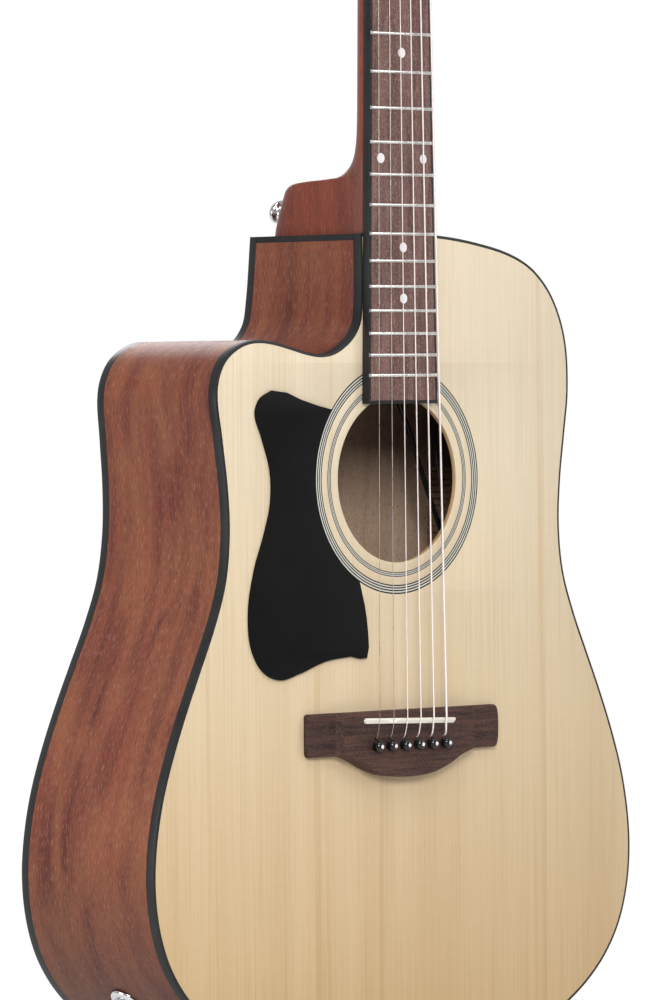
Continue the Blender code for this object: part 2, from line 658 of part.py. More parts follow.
for knob_name, y in (("preamp_volume_knob", -KNOB_Y), ("preamp_tone_knob", KNOB_Y)):
    place = preamp_place @ Matrix.Translation((PANEL_FACE, y, KNOB_Z)) @ UPRIGHT_X
    knob = turned(knob_name, [(r * MM, h * MM) for r, h in KNOB_PROFILE], 20, place)
    mark = box(knob_name + "_mark", (0.9 * MM, 6 * MM, 1.2 * MM), (0, 4 * MM, 9.2 * MM), place)
    combine(knob, mark, "DIFFERENCE")
    keep(knob, BLACK, 0.5)
    shaft_hole = cylinder(knob_name + "_hole", 1.6 * MM, -6 * MM, 2 * MM, 12, place)
    combine(panel, shaft_hole, "DIFFERENCE")
    shaft = cylinder(knob_name + "_shaft", 1.3 * MM, -5 * MM, 2 * MM, 12, place)
    combine(knob, shaft, "UNION")
BUTTON_PLACE = preamp_place @ Matrix.Translation((PANEL_FACE, 0, 3 * MM)) @ UPRIGHT_X
button_hole = cylinder("button_hole", 2.8 * MM, -6 * MM, 4 * MM, 16, BUTTON_PLACE)
combine(panel, button_hole, "DIFFERENCE")
PUSH_PROFILE = [(0, 2.4), (2, 2.4), (2.5, 1.9), (2.5, -3), (0, -3)]
keep(turned(
    "tuner_push_button", [(r * MM, h * MM) for r, h in PUSH_PROFILE], 16, BUTTON_PLACE,
), (0.35, 0.35, 0.36), 0.4)
keep(panel, BLACK, 0.55)
keep(side_bass, MAHOGANY, 0.55)

# The pickup's lead: down through the soundboard and up to the preamp
case_end = preamp_place @ Vector((PANEL_FACE - 1 * MM - CASE[0] - LEAD_RADIUS - GAP, 4 * MM, -10 * MM))
lead_route = [
    (LEAD_X, depth(-4.4 * MM), lead_z), (LEAD_X, depth(9 * MM), lead_z),
    (LEAD_X + 6 * MM, depth(24 * MM), lead_z + 8 * MM), (52 * MM, depth(34 * MM), below(235 * MM)),
    (78 * MM, depth(42 * MM), below(190 * MM)), (88 * MM, depth(50 * MM), below(155 * MM)),
    (88 * MM, depth(54 * MM), below(128 * MM)), tuple(case_end),
]
combine(pickup, tube("pickup_lead", [tuple(p) for p in smooth(lead_route, 2)], LEAD_RADIUS, 0), "UNION")
keep(pickup, GREY, 0.5)

# Output jack in the lower treble side
jack_index = min(
    range(1, len(TREBLE_PATH) - 1),
    key=lambda i: abs(TREBLE_PATH[i].y - below(JACK_FROM_TOP)),
)
tangent = (TREBLE_PATH[jack_index + 1] - TREBLE_PATH[jack_index - 1]).normalized()
jack_out = Vector((tangent.y, 0, -tangent.x))
jack_turn = Vector((0, 0, 1)).rotation_difference(jack_out).to_matrix().to_4x4()
jack_spot = Vector((TREBLE_PATH[jack_index].x, depth(JACK_DEPTH), TREBLE_PATH[jack_index].y))
jack_place = Matrix.Translation(jack_spot) @ jack_turn
JACK_OUTER = [  # radius and height outside the wood, round the ring and the barrel, back to the bore
    (3.3, 4.2), (5.6, 4.2), (6.0, 3.8), (6.0, 2.4), (8.4, 2.4), (9.8, 1.4), (9.8, 0.7), (5.6, 0.7),
    (5.6, -26), (4.4, -27), (4.4, -31), (0, -31), (0, -28), (3.3, -28), (3.3, 4.2),
]
jack = turned("output_jack", [(r * MM, h * MM) for r, h in JACK_OUTER], 16, jack_place)
keep(jack, CHROME, 0.2, 1.0)
jack_bore = cylinder("jack_bore", 6.2 * MM, -10 * MM, 6 * MM, 20, jack_place)
combine(side_treble, jack_bore, "DIFFERENCE")
keep(side_treble, MAHOGANY, 0.55)

# Lead from the preamp round the inside of the body to the jack
CORD_RADIUS = 1.6 * MM
jack_end = jack_place @ Vector((0, 0, -31 * MM - GAP))
jack_near = jack_place @ Vector((0, 0, -44 * MM))
case_side = preamp_place @ Vector((PANEL_FACE - 1 * MM - CASE[0] - GAP, 2 * MM, 24 * MM))
case_exit = preamp_place @ Vector((PANEL_FACE - 1 * MM - CASE[0] - 7 * MM, 2 * MM, 24 * MM))
cord_route = [
    tuple(case_side), tuple(case_exit),
    (73 * MM, depth(54 * MM), below(70 * MM)), (58 * MM, depth(57 * MM), below(78 * MM)),
    (60 * MM, depth(58.5 * MM), below(96 * MM)), (69.5 * MM, depth(60 * MM), below(114 * MM)),
    (86 * MM, depth(62 * MM), below(148 * MM)),
    (103 * MM, depth(64 * MM), below(182 * MM)), (116 * MM, depth(68 * MM), below(225 * MM)),
    (142 * MM, depth(72 * MM), below(290 * MM)), (166 * MM, depth(72 * MM), below(350 * MM)),
    (150 * MM, depth(70 * MM), below(415 * MM)), (90 * MM, depth(66 * MM), below(462 * MM)),
    (10 * MM, depth(62 * MM), below(474 * MM)), (-70 * MM, depth(58 * MM), below(458 * MM)),
    tuple(jack_near), tuple(jack_end),
]
keep(tube("jack_lead", [tuple(p) for p in smooth(cord_route, 2)], CORD_RADIUS), BLACK, 0.5)

# Neck: shaft and heel in one piece of wood with the head
HEEL = [  # height above the body's top end, depth at the back, share of the heel's own shape
    (0.3, 91.2, 1), (6, 89.9, 1), (14, 87, 1), (22, 83.8, 1), (27.5, 81, 1), (30.3, 77, 1), (31.9, 67, 1),
    (32.9, 47, 1), (35, 30.5, 0.85), (40, 23.5, 0.55), (46, 19.5, 0.25), (54, 17, 0.1), (66, 15.8, 0),
    (90, 15.5, 0),
]
NECK_POINTS = 8
HEEL_HALF = 17.5 * MM


def half_width(from_nut):
    """Half width of the neck and fretboard at a distance from the nut."""
    return NUT_HALF + (BODY_FRET_HALF - NUT_HALF) * from_nut / (NUT_Z - BODY_TOP)


def neck_section(z, back_depth, heel_share, front=0.0, width=None):
    """Half of a D shape for the shaft, drawn out to a narrow foot for the heel, then its mirror."""
    w = width or half_width(NUT_Z - z)
    points = []
    for k in range(NECK_POINTS + 1):
        t = k / NECK_POINTS
        angle = math.pi / 2 * t
        shaft_x = w * math.cos(angle) ** 0.85
        shaft_y = back_depth * math.sin(angle)
        heel_y = back_depth * (1 - (1 - t) ** 1.5)
        foot = HEEL_HALF + (w - HEEL_HALF) * math.exp(-heel_y / (17 * MM))
        heel_x = foot * (1 - t ** 7) ** 0.5
        x = heel_share * heel_x + (1 - heel_share) * shaft_x
        y = heel_share * heel_y + (1 - heel_share) * shaft_y
        points.append((x, depth(front + y * (back_depth - front) / back_depth), z))
    return points + [(-x, y, z) for x, y, z in points[-2::-1]]


neck_sections = [neck_section(BODY_TOP + h * MM, d * MM, s) for h, d, s in HEEL]
SHAFT_STEPS = 5
SHAFT_START = BODY_TOP + 90 * MM
for step in range(1, SHAFT_STEPS + 1):
    z = SHAFT_START + (NUT_Z + NUT_THICKNESS - SHAFT_START) * step / SHAFT_STEPS
    neck_sections.append(neck_section(z, (15.5 - 1.2 * step / SHAFT_STEPS) * MM, 0))
neck_sections.append(neck_section(NUT_Z + 14 * MM, 15.5 * MM, 0, front=4.5 * MM, width=19 * MM))
neck = loft("neck", neck_sections)

head_place = Matrix.Translation((0, depth(0), NUT_Z + NUT_THICKNESS)) @ Matrix.Rotation(
    math.radians(-HEAD_TILT), 4, "X"
)
HEAD_SIDE = [(21.4, 0.5), (25, 14), (32.5, 30), (35.5, 48), (35.5, 100), (37, 150), (37.5, 172)]
HEAD_END = [(30, 178), (14, 180.5), (0, 181)]
head_right = [tuple(p) for p in smooth([(x * MM, z * MM) for x, z in HEAD_SIDE], 2)]
head_right += [(x * MM, z * MM) for x, z in HEAD_END]
head_outline = head_right + [(-x, z) for x, z in head_right[-2::-1]]
head = plate("head_slab", [head_outline], 0, HEAD_THICKNESS)
head.matrix_world = head_place @ head.matrix_world
combine(neck, head, "UNION")

# Truss rod, in a groove under the fretboard that opens into a pocket under a cover
ROD_LENGTH = 342 * MM
groove = box(
    "rod_groove", (6.6 * MM, 20 * MM, ROD_LENGTH + 2 * MM),
    (0, depth(0), NUT_Z + 5 * MM - (ROD_LENGTH + 2 * MM) / 2),
)
pocket = box("rod_pocket", (9 * MM, 14 * MM, 32 * MM), (0, 2 * MM, 13 * MM), head_place)
combine(neck, groove, "DIFFERENCE")
combine(neck, pocket, "DIFFERENCE")
ROD_TOP = NUT_Z + 12 * MM
rod_place = Matrix.Translation((0, depth(6 * MM), 0))
keep(turned("truss_rod", [
    (0, ROD_TOP), (3 * MM, ROD_TOP), (3 * MM, ROD_TOP - 9 * MM), (2.4 * MM, ROD_TOP - 9 * MM),
    (2.4 * MM, NUT_Z - ROD_LENGTH + 8 * MM), (0, NUT_Z - ROD_LENGTH + 8 * MM),
], 10, rod_place), (0.4, 0.4, 0.4), 0.4, 1.0)
COVER = [(9, 2), (12, 12), (11, 24), (6, 33), (0, 36)]
cover_right = [(x * MM, z * MM) for x, z in COVER]
cover = plate("truss_rod_cover", [cover_right + [(-x, z) for x, z in cover_right[-2::-1]]], -1.8 * MM, -GAP)
cover.matrix_world = head_place @ cover.matrix_world
keep(cover, BLACK, 0.4)

# Fretboard with its frets
board_bottom = depth(-GAP)
BOARD_START = NUT_Z - GAP
ACROSS_STEPS = 4


def board_line(half_length, height):
    """Points across the board at a height above its flat underside's level, following its curve."""
    line = []
    for k in range(ACROSS_STEPS + 1):
        x = half_length * (1 - 2 * k / ACROSS_STEPS)
        line.append((x, depth(-(height - arch(x)))))
    return line


board_sections = []
for from_nut in (GAP, BOARD_LENGTH - BOARD_BINDING - GAP):
    w = half_width(from_nut) - BOARD_BINDING - GAP
    outline = [(-w, board_bottom), (w, board_bottom)] + board_line(w, BOARD_THICKNESS)
    board_sections.append([(x, y, NUT_Z - from_nut) for x, y in outline])
fretboard = loft("fretboard", board_sections)
for number in range(1, FRET_COUNT + 1):
    from_nut = SCALE_LENGTH * (1 - 2 ** (-number / 12))
    w = half_width(from_nut) - 0.4 * MM
    foot = board_line(w, BOARD_THICKNESS + 0.06 * MM)
    middle = board_line(w - 0.3 * MM, BOARD_THICKNESS + FRET_HEIGHT)
    tang = board_line(w - BOARD_BINDING - 1 * MM, BOARD_THICKNESS - 0.35 * MM)
    rows = []
    for line, offset in ((foot, 0.5), (middle, 0), (foot, -0.5), (tang, -0.3), (tang, 0.3)):
        rows.append([(x, y, NUT_Z - from_nut + offset * FRET_WIDTH) for x, y in line])
    fret_sections = [[row[k] for row in rows] for k in range(ACROSS_STEPS + 1)]
    combine(fretboard, loft("fret_%d" % number, fret_sections), "UNION")
keep(fretboard, ROSEWOOD, 0.6)

# Binding round the fretboard: along both edges and across the end over the soundboard
BINDING_TOP = BOARD_THICKNESS - arch(BODY_FRET_HALF) - 0.25 * MM
end_half, top_half = half_width(BOARD_LENGTH), half_width(0)
board_end = NUT_Z - BOARD_LENGTH
right_half = [
    (end_half, board_end), (top_half, BOARD_START), (top_half - BOARD_BINDING, BOARD_START),
    (end_half - BOARD_BINDING, board_end + BOARD_BINDING),
]
u_shape = right_half + [(-x, z) for x, z in right_half[::-1]]
keep(plate("fretboard_binding", [u_shape], depth(-BINDING_TOP), board_bottom), BLACK, 0.4)

# Nut, slotted for the strings
nut = box(
    "nut", (2 * NUT_HALF, 8.5 * MM, NUT_THICKNESS - 2 * GAP),
    (0, depth(-4.25 * MM - GAP), NUT_Z + NUT_THICKNESS / 2),
)
bevelled(nut, 0.6 * MM)
nut_slots = bmesh.new()
for index, diameter in enumerate(STRING_DIAMETERS):
    x = across(index, NUT_PITCH)
    bottom = NUT_STRING - arch(x) - 0.3 * MM
    made = bmesh.ops.create_cube(nut_slots, size=1)["verts"]
    bmesh.ops.scale(nut_slots, vec=(diameter + 0.7 * MM, 4 * MM, 20 * MM), verts=made)
    bmesh.ops.translate(nut_slots, vec=(x, depth(-bottom - 2 * MM), NUT_Z), verts=made)
combine(nut, from_bmesh("nut_slots", nut_slots), "DIFFERENCE")
keep(nut, BONE, 0.4)

# Strap buttons
STRAP_BUTTON = [
    (0, 0), (6.4, 0), (7.2, 0.8), (7.2, 2.4), (5.6, 3.6), (4.2, 5.4), (4.2, 7.4), (6.2, 9.6), (7.4, 10.4),
    (7.4, 11.2), (0, 11.2),
]
strap_profile = [(r * MM, -h * MM) for r, h in STRAP_BUTTON]
keep(turned("strap_button_end", strap_profile, 16, Matrix.Rotation(math.pi, 4, "X")), CHROME, 0.2, 1.0)
HEEL_BUTTON_LEAN = math.radians(18)
HEEL_BUTTON_UP = 12.4 * MM
HEEL_BUTTON_DEPTH = 87.9 * MM
BUTTON_HEIGHT = 11.2 * MM
heel_button_foot = Vector((0, depth(HEEL_BUTTON_DEPTH), BODY_TOP + HEEL_BUTTON_UP))
heel_button_out = Vector((0, math.cos(HEEL_BUTTON_LEAN), math.sin(HEEL_BUTTON_LEAN)))
heel_button_top = heel_button_foot + heel_button_out * (BUTTON_HEIGHT + 2 * GAP)
heel_button_turn = Matrix.Rotation(HEEL_BUTTON_LEAN - math.pi / 2, 4, "X")
heel_button_place = Matrix.Translation(heel_button_top) @ heel_button_turn
keep(turned("strap_button_heel", strap_profile, 16, heel_button_place), CHROME, 0.2, 1.0)

# Tuners: three a side, each a housing with its bushing, a post and a knob
POST_TURN = Matrix.Rotation(math.pi / 2, 4, "X")  # a turned piece's top towards the head's front
POST_PROFILE = [(0, 15), (2.6, 15), (3, 14.6), (3, 11), (2.5, 9.8), (2.5, 8.6), (3, 7.4), (3, -21), (0, -21)]
POST_BORE = 3.25 * MM
POSTS = [(-POST_X, POST_ROWS[0]), (-POST_X, POST_ROWS[1]), (-POST_X, POST_ROWS[2]),
         (POST_X, POST_ROWS[2]), (POST_X, POST_ROWS[1]), (POST_X, POST_ROWS[0])]
KNOB_BODY = [
    (0, 37.5), (5, 36.4), (7.8, 31), (6.6, 24.2), (3.4, 21.5), (3.4, 19.4), (2, 19.2), (2, 5), (0, 5),
]
for index, (x, z) in enumerate(POSTS):
    number = index + 1
    outward = math.copysign(1, x)
    place = head_place @ Matrix.Translation((x, 0, z))
    bushing_hole = cylinder("bushing_hole_%d" % number, 5 * MM, -20 * MM, 5 * MM, 12, place @ POST_TURN)
    combine(neck, bushing_hole, "DIFFERENCE")
    housing = box(
        "tuner_housing_%d" % number, (14 * MM, 12 * MM, 23 * MM),
        (0, HEAD_THICKNESS + GAP + 6 * MM, -3.5 * MM), place,
    )
    bevelled(housing, 1.5 * MM)
    bushing = turned("bushing_%d" % number, [
        (0, 2.6 * MM), (5.2 * MM, 2.6 * MM), (6.6 * MM, 1.8 * MM), (6.6 * MM, GAP), (4.6 * MM, GAP),
        (4.6 * MM, -16 * MM), (0, -16 * MM),
    ], 12, place @ POST_TURN)
    bore = cylinder("post_bore_%d" % number, POST_BORE, -22 * MM, 5 * MM, 12, place @ POST_TURN)
    worm_place = place @ Matrix.Translation((0, HEAD_THICKNESS + 6 * MM, -WORM_OFFSET)) @ Matrix.Rotation(
        outward * math.pi / 2, 4, "Y"
    )
    worm_bore = cylinder("worm_bore_%d" % number, 2.25 * MM, 4 * MM, 12 * MM, 12, worm_place)
    combine(housing, bushing, "UNION")
    combine(housing, bore, "DIFFERENCE")
    combine(housing, worm_bore, "DIFFERENCE")
    keep(housing, CHROME, 0.2, 1.0)
    post_profile = [(r * MM, h * MM) for r, h in POST_PROFILE]
    post = turned("tuner_post_%d" % number, post_profile, 12, place @ POST_TURN)
    eye = cylinder("post_eye_%d" % number, 0.8 * MM, -5 * MM, 5 * MM, 8,
                   place @ Matrix.Translation((0, -9.2 * MM, 0)) @ Matrix.Rotation(math.pi / 2, 4, "Y"))
    combine(post, eye, "DIFFERENCE")
    keep(post, CHROME, 0.2, 1.0)
    knob = turned("tuner_knob_%d" % number, [(r * MM, h * MM) for r, h in KNOB_BODY], 14, worm_place)
    flats = box("knob_flats_%d" % number, (9 * MM, 30 * MM, 60 * MM), (0, 0, 30 * MM), worm_place)
    combine(knob, flats, "INTERSECT")
    keep(knob, CHROME, 0.2, 1.0)
keep(neck, MAHOGANY, 0.55)

# Strings: ball under the bridge plate, up its slot, over saddle and nut, wound on the post
for index, diameter in enumerate(STRING_DIAMETERS):
    r = diameter / 2
    pin_x = across(index, PIN_PITCH)
    slot_z = below(PIN_ROW_FROM_TOP) + PIN_RADIUS + STRING_SLOT / 2 - 1.2 * MM
    saddle_x = across(index, SADDLE_PITCH)
    nut_x = across(index, NUT_PITCH)
    over_saddle = depth(-(SADDLE_STRING + r - arch(saddle_x)))
    over_nut = depth(-(NUT_STRING + r - arch(nut_x)))
    saddle_z = SADDLE_Z - saddle_x * math.tan(SADDLE_SLANT)
    ball_y = depth(LINING_FRONT + 2.5 * MM + 2.4 * MM)
    points = [
        (pin_x, ball_y, slot_z), (pin_x, depth(-BRIDGE_THICKNESS - 0.2 * MM), slot_z),
        (pin_x, depth(-BRIDGE_THICKNESS - r - 0.6 * MM), slot_z + 0.5 * MM),
        (saddle_x, over_saddle + 0.35 * MM, saddle_z - 1.6 * MM),
        (saddle_x, over_saddle, saddle_z), (nut_x, over_nut, NUT_Z),
        (nut_x, over_nut + 0.05 * MM, NUT_Z + NUT_THICKNESS - 0.5 * MM),
    ]
    post_x, post_z = POSTS[index]
    outward = math.copysign(1, post_x)
    wrap = POST_RADIUS + r + 0.3 * MM
    first = math.pi if outward > 0 else 0
    turn = -1 if outward > 0 else 1
    drop = diameter + 0.35 * MM
    for k in range(int(WRAP_TURNS * WRAP_POINTS) + 1):
        angle = first + turn * 2 * math.pi * k / WRAP_POINTS
        height = 8.6 * MM - drop * k / WRAP_POINTS
        spot = Vector((post_x + wrap * math.cos(angle), -height, post_z + wrap * math.sin(angle)))
        points.append(tuple(head_place @ spot))
    string = tube("string_%d" % (index + 1), points, r, 0)
    ball = bmesh.new()
    bmesh.ops.create_uvsphere(ball, u_segments=8, v_segments=6, radius=2 * MM)
    bmesh.ops.translate(ball, vec=(pin_x, ball_y, slot_z), verts=ball.verts)
    combine(string, from_bmesh("ball_%d" % (index + 1), ball), "UNION")
    keep(string, (0.62, 0.58, 0.52), 0.3, 1.0)
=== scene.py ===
"""A left-handed cutaway acoustic guitar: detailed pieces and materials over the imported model."""
import json
import math

import bmesh
import bpy
from mathutils import Matrix, Vector

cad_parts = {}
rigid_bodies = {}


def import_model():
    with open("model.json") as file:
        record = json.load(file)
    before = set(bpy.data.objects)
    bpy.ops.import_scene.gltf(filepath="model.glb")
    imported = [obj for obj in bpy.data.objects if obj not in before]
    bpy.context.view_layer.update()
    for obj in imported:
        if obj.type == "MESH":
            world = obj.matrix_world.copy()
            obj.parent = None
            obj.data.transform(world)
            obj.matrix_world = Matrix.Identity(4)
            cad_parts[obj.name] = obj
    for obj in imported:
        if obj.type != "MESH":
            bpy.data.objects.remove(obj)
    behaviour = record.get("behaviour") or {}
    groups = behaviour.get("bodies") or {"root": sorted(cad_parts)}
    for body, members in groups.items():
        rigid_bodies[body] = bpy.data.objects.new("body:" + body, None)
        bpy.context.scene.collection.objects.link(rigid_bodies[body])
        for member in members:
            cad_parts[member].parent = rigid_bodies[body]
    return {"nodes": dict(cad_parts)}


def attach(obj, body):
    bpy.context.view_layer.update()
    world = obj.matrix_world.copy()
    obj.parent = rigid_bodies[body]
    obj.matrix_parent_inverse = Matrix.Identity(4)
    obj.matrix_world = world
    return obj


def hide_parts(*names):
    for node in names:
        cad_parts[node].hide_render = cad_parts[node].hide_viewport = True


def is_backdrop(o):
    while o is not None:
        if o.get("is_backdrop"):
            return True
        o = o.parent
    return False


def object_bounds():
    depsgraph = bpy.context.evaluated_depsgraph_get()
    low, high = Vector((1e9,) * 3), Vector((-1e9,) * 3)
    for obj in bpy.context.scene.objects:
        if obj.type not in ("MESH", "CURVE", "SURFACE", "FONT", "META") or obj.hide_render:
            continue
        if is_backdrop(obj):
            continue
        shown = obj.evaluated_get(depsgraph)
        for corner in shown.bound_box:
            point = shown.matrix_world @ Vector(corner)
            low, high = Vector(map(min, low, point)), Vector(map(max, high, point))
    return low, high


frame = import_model()
CAD_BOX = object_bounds()
MM = 0.001
GAP = 0.25 * MM  # between glued pieces, as in the CAD model
HAIR = 0.05 * MM  # keeps two faces from lying in one plane
ROOT = "guitar"

FACE_TURN = Matrix.Rotation(math.pi / 2, 4, "X")  # own Z towards the front
BACK_TURN = Matrix.Rotation(-math.pi / 2, 4, "X")  # own Z towards the back
SIDE_TURN = Matrix.Rotation(math.pi / 2, 4, "Y")  # own Z towards the bass side

# Lengths along the instrument, as in the CAD model
SCALE_LENGTH = 634 * MM
BOARD_LENGTH = 451 * MM
NUT_THICKNESS = 5 * MM
BODY_LENGTH = 508 * MM
TOP_FACE = -56 * MM
BODY_TOP = 519.5 * MM
NUT_Z = BODY_TOP + SCALE_LENGTH * (1 - 2 ** (-14 / 12))
SADDLE_Z = NUT_Z - 636.5 * MM
FRET_COUNT = 20

# Body
HALF_OUTLINE = [  # half width and distance below the body's top end, from the tail up
    (0, 508), (55, 501), (105, 482.5), (141, 462), (161, 448.5), (176.5, 433.5), (188, 416),
    (195.3, 395), (198.2, 372), (197, 350), (192, 324.5), (183.8, 300), (173.3, 275), (161.5, 250),
    (149.8, 225), (141, 200), (137.8, 172), (139.3, 145), (143, 119), (146.5, 92),
]
BASS_SHOULDER = [(144, 60), (133.3, 36), (118, 20.5), (101, 12), (68, 4.3), (29.5, 0)]
CUTAWAY = [  # from the corner beside the neck, round the horn, to the upper bout
    (-29, 0), (-29.2, 40), (-30.6, 51), (-35.1, 58.5), (-41.5, 63.9), (-51.5, 68.8), (-62, 70.2),
    (-74, 68.7), (-86.5, 65.8), (-100, 63), (-111, 62), (-121, 63), (-130.4, 66.6), (-138.4, 72.4),
    (-143.8, 80.5),
]
OUTLINE_STEPS = 6
CORNER_X = -29 * MM
PLATE_THICKNESS = 2.8 * MM
SIDE_THICKNESS = 2 * MM
BINDING_WIDTH = 1.8 * MM
BINDING_DEPTH = 6 * MM
END_STRIP = 3.6 * MM
LINING_WIDTH = 6 * MM
LINING_DEPTH = 14 * MM
LINING_WEB = 1.4 * MM
LINING_INSET = SIDE_THICKNESS + GAP
KERF_PITCH = 4 * MM
KERF_WIDTH = 0.9 * MM
HOLE_RADIUS = 49.1 * MM
HOLE_FROM_TOP = 143.4 * MM
HOLE_STEPS = 160
ROSETTE_DEPTH = 1 * MM

# Neck, fretboard and head
NUT_HALF = 21.3 * MM
BODY_FRET_HALF = 27.2 * MM
BOARD_RADIUS = 400 * MM
BOARD_THICKNESS = 6.5 * MM
BOARD_BINDING = 2 * MM
FRET_HEIGHT = 1 * MM
FRET_WIDTH = 2.2 * MM
HEAD_TILT = 14
HEAD_THICKNESS = 14.5 * MM
POST_ROWS = (42 * MM, 82 * MM, 122 * MM)
POST_X = 21.5 * MM
POST_RADIUS = 3 * MM
WORM_OFFSET = 7 * MM

# Strings, thin to thick, from the treble side (-X) to the bass side (+X)
STRING_DIAMETERS = [0.30 * MM, 0.41 * MM, 0.61 * MM, 0.81 * MM, 1.07 * MM, 1.35 * MM]
PLAIN_STRINGS = 2
NUT_PITCH = 7.2 * MM
SADDLE_PITCH = 11 * MM
PIN_PITCH = 11.3 * MM
NUT_STRING = 7.9 * MM
SADDLE_STRING = 12.3 * MM

# Bridge
BRIDGE_HALF = 80.2 * MM
BRIDGE_THICKNESS = 9 * MM
WING_THICKNESS = 4 * MM
WING_STEP = 54 * MM
WING_SLOPE = 5 * MM
SADDLE_SLANT = math.radians(1.8)
SADDLE_LENGTH = 76 * MM
SADDLE_THICKNESS = 3.2 * MM
SET_BACK_REACH = 4.2 * MM
PIN_ROW_FROM_TOP = 299 * MM
PIN_RADIUS = 3.5 * MM
STRING_SLOT = 3.6 * MM

# Controls
PREAMP_FROM_TOP = 104 * MM
PREAMP_DEPTH = 50 * MM
PREAMP_TILT = math.radians(3.7)
PREAMP_X = 143.2 * MM
PANEL_FACE = 4 * MM
JACK_FROM_TOP = 441.5 * MM
JACK_DEPTH = 55 * MM


# ---------------------------------------------------------------- helpers
def depth(value):
    """World Y of a distance behind the soundboard's face."""
    return TOP_FACE + value


def below(value):
    """World Z of a distance below the body's top end."""
    return BODY_TOP - value


def back_face(x, z):
    """World Y of the arched back's outer face."""
    down = BODY_TOP - z
    lengthwise = 0.0887 + 0.1124 * down - 0.1365 * down ** 2
    return depth(lengthwise + 0.109 * (0.04 - x ** 2))


def shift(x, y, z):
    """A move, as a matrix."""
    return Matrix.Translation((x, y, z))


def hermite(t):
    """Shares of a start, its slope, an end and its slope in a smooth curve between them."""
    return 2 * t ** 3 - 3 * t ** 2 + 1, t ** 3 - 2 * t ** 2 + t, 3 * t ** 2 - 2 * t ** 3, t ** 3 - t ** 2


def smooth(points, steps, before=None, after=None):
    """Points of a line that runs smoothly through the given ones."""
    given = [Vector(p) for p in points]
    first = Vector(before) if before else given[0] * 2 - given[1]
    last = Vector(after) if after else given[-1] * 2 - given[-2]
    line = [first] + given + [last]
    path = []
    for i in range(1, len(line) - 2):
        p0, p1, p2, p3 = line[i - 1:i + 3]
        chord = (p2 - p1).length
        out = chord * ((p1 - p0) / (p1 - p0).length + (p2 - p1) / chord) / 2
        arrive = chord * ((p2 - p1) / chord + (p3 - p2) / (p3 - p2).length) / 2
        for k in range(steps):
            a, b, c, d = hermite(k / steps)
            path.append(p1 * a + out * b + p2 * c + arrive * d)
    path.append(given[-1])
    return path


def inset(path, distance, closed):
    """The path moved to its left, with mitred corners."""
    moved = []
    count = len(path)
    for i, point in enumerate(path):
        before = path[i - 1] if closed or i > 0 else None
        after = path[(i + 1) % count] if closed or i < count - 1 else None
        directions = []
        if before is not None:
            directions.append((point - before).normalized())
        if after is not None:
            directions.append((after - point).normalized())
        normals = [Vector((-d.y, d.x)) for d in directions]
        normal = sum(normals, Vector((0, 0))).normalized()
        moved.append(point + normal * (distance / max(0.5, normal.dot(normals[0]))))
    return moved


def made(name, bm, matrix=None):
    """An unlinked object from a bmesh, with the matrix put into its points."""
    if matrix is not None:
        bmesh.ops.transform(bm, matrix=matrix, verts=bm.verts)
    bmesh.ops.recalc_face_normals(bm, faces=bm.faces)
    mesh = bpy.data.meshes.new(name)
    bm.to_mesh(mesh)
    bm.free()
    return bpy.data.objects.new(name, mesh)


def settle(obj):
    """Applies the object's modifiers to its mesh."""
    if obj.modifiers:
        scene_objects = bpy.context.scene.collection.objects
        linked = obj.name in scene_objects
        if not linked:
            scene_objects.link(obj)
        bpy.context.view_layer.update()
        graph = bpy.context.evaluated_depsgraph_get()
        mesh = bpy.data.meshes.new_from_object(obj.evaluated_get(graph))
        obj.modifiers.clear()
        obj.data = mesh
        if not linked:
            scene_objects.unlink(obj)
    return obj


def add(obj, slot, material, *nodes, body=ROOT, sharp=35):
    """Shows a finished piece: smooth shading, material, and the CAD body that it rides on; its slot is not used.
    """
    settle(obj)
    if obj.name not in bpy.context.scene.collection.objects:
        bpy.context.scene.collection.objects.link(obj)
    obj.data.materials.clear()
    for each in material if isinstance(material, (list, tuple)) else [material]:
        obj.data.materials.append(each)
    obj.data.shade_smooth()
    obj.data.set_sharp_from_angle(angle=math.radians(sharp))
    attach(obj, body)
    if nodes:
        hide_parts(*nodes)
    return obj


def combine(obj, other, operation="DIFFERENCE"):
    """Cuts, joins or trims a piece with another, which is then removed."""
    bpy.context.scene.collection.objects.link(other)
    change = obj.modifiers.new("boolean", "BOOLEAN")
    change.operation = operation
    change.solver = "EXACT"
    change.object = other
    settle(obj)
    bpy.data.objects.remove(other, do_unlink=True)


def bevelled(obj, width, segments=3, angle=40):
    """The piece with its edges rounded where they turn by more than an angle."""
    edge = obj.modifiers.new("bevel", "BEVEL")
    edge.width = width
    edge.segments = segments
    edge.limit_method = "ANGLE"
    edge.angle_limit = math.radians(angle)
    return settle(obj)


def box(name, size, centre, matrix=None):
    """A block with its size and centre in metres."""
    bm = bmesh.new()
    bmesh.ops.create_cube(bm, size=1)
    bmesh.ops.scale(bm, vec=size, verts=bm.verts)
    bmesh.ops.translate(bm, vec=centre, verts=bm.verts)
    return made(name, bm, matrix)


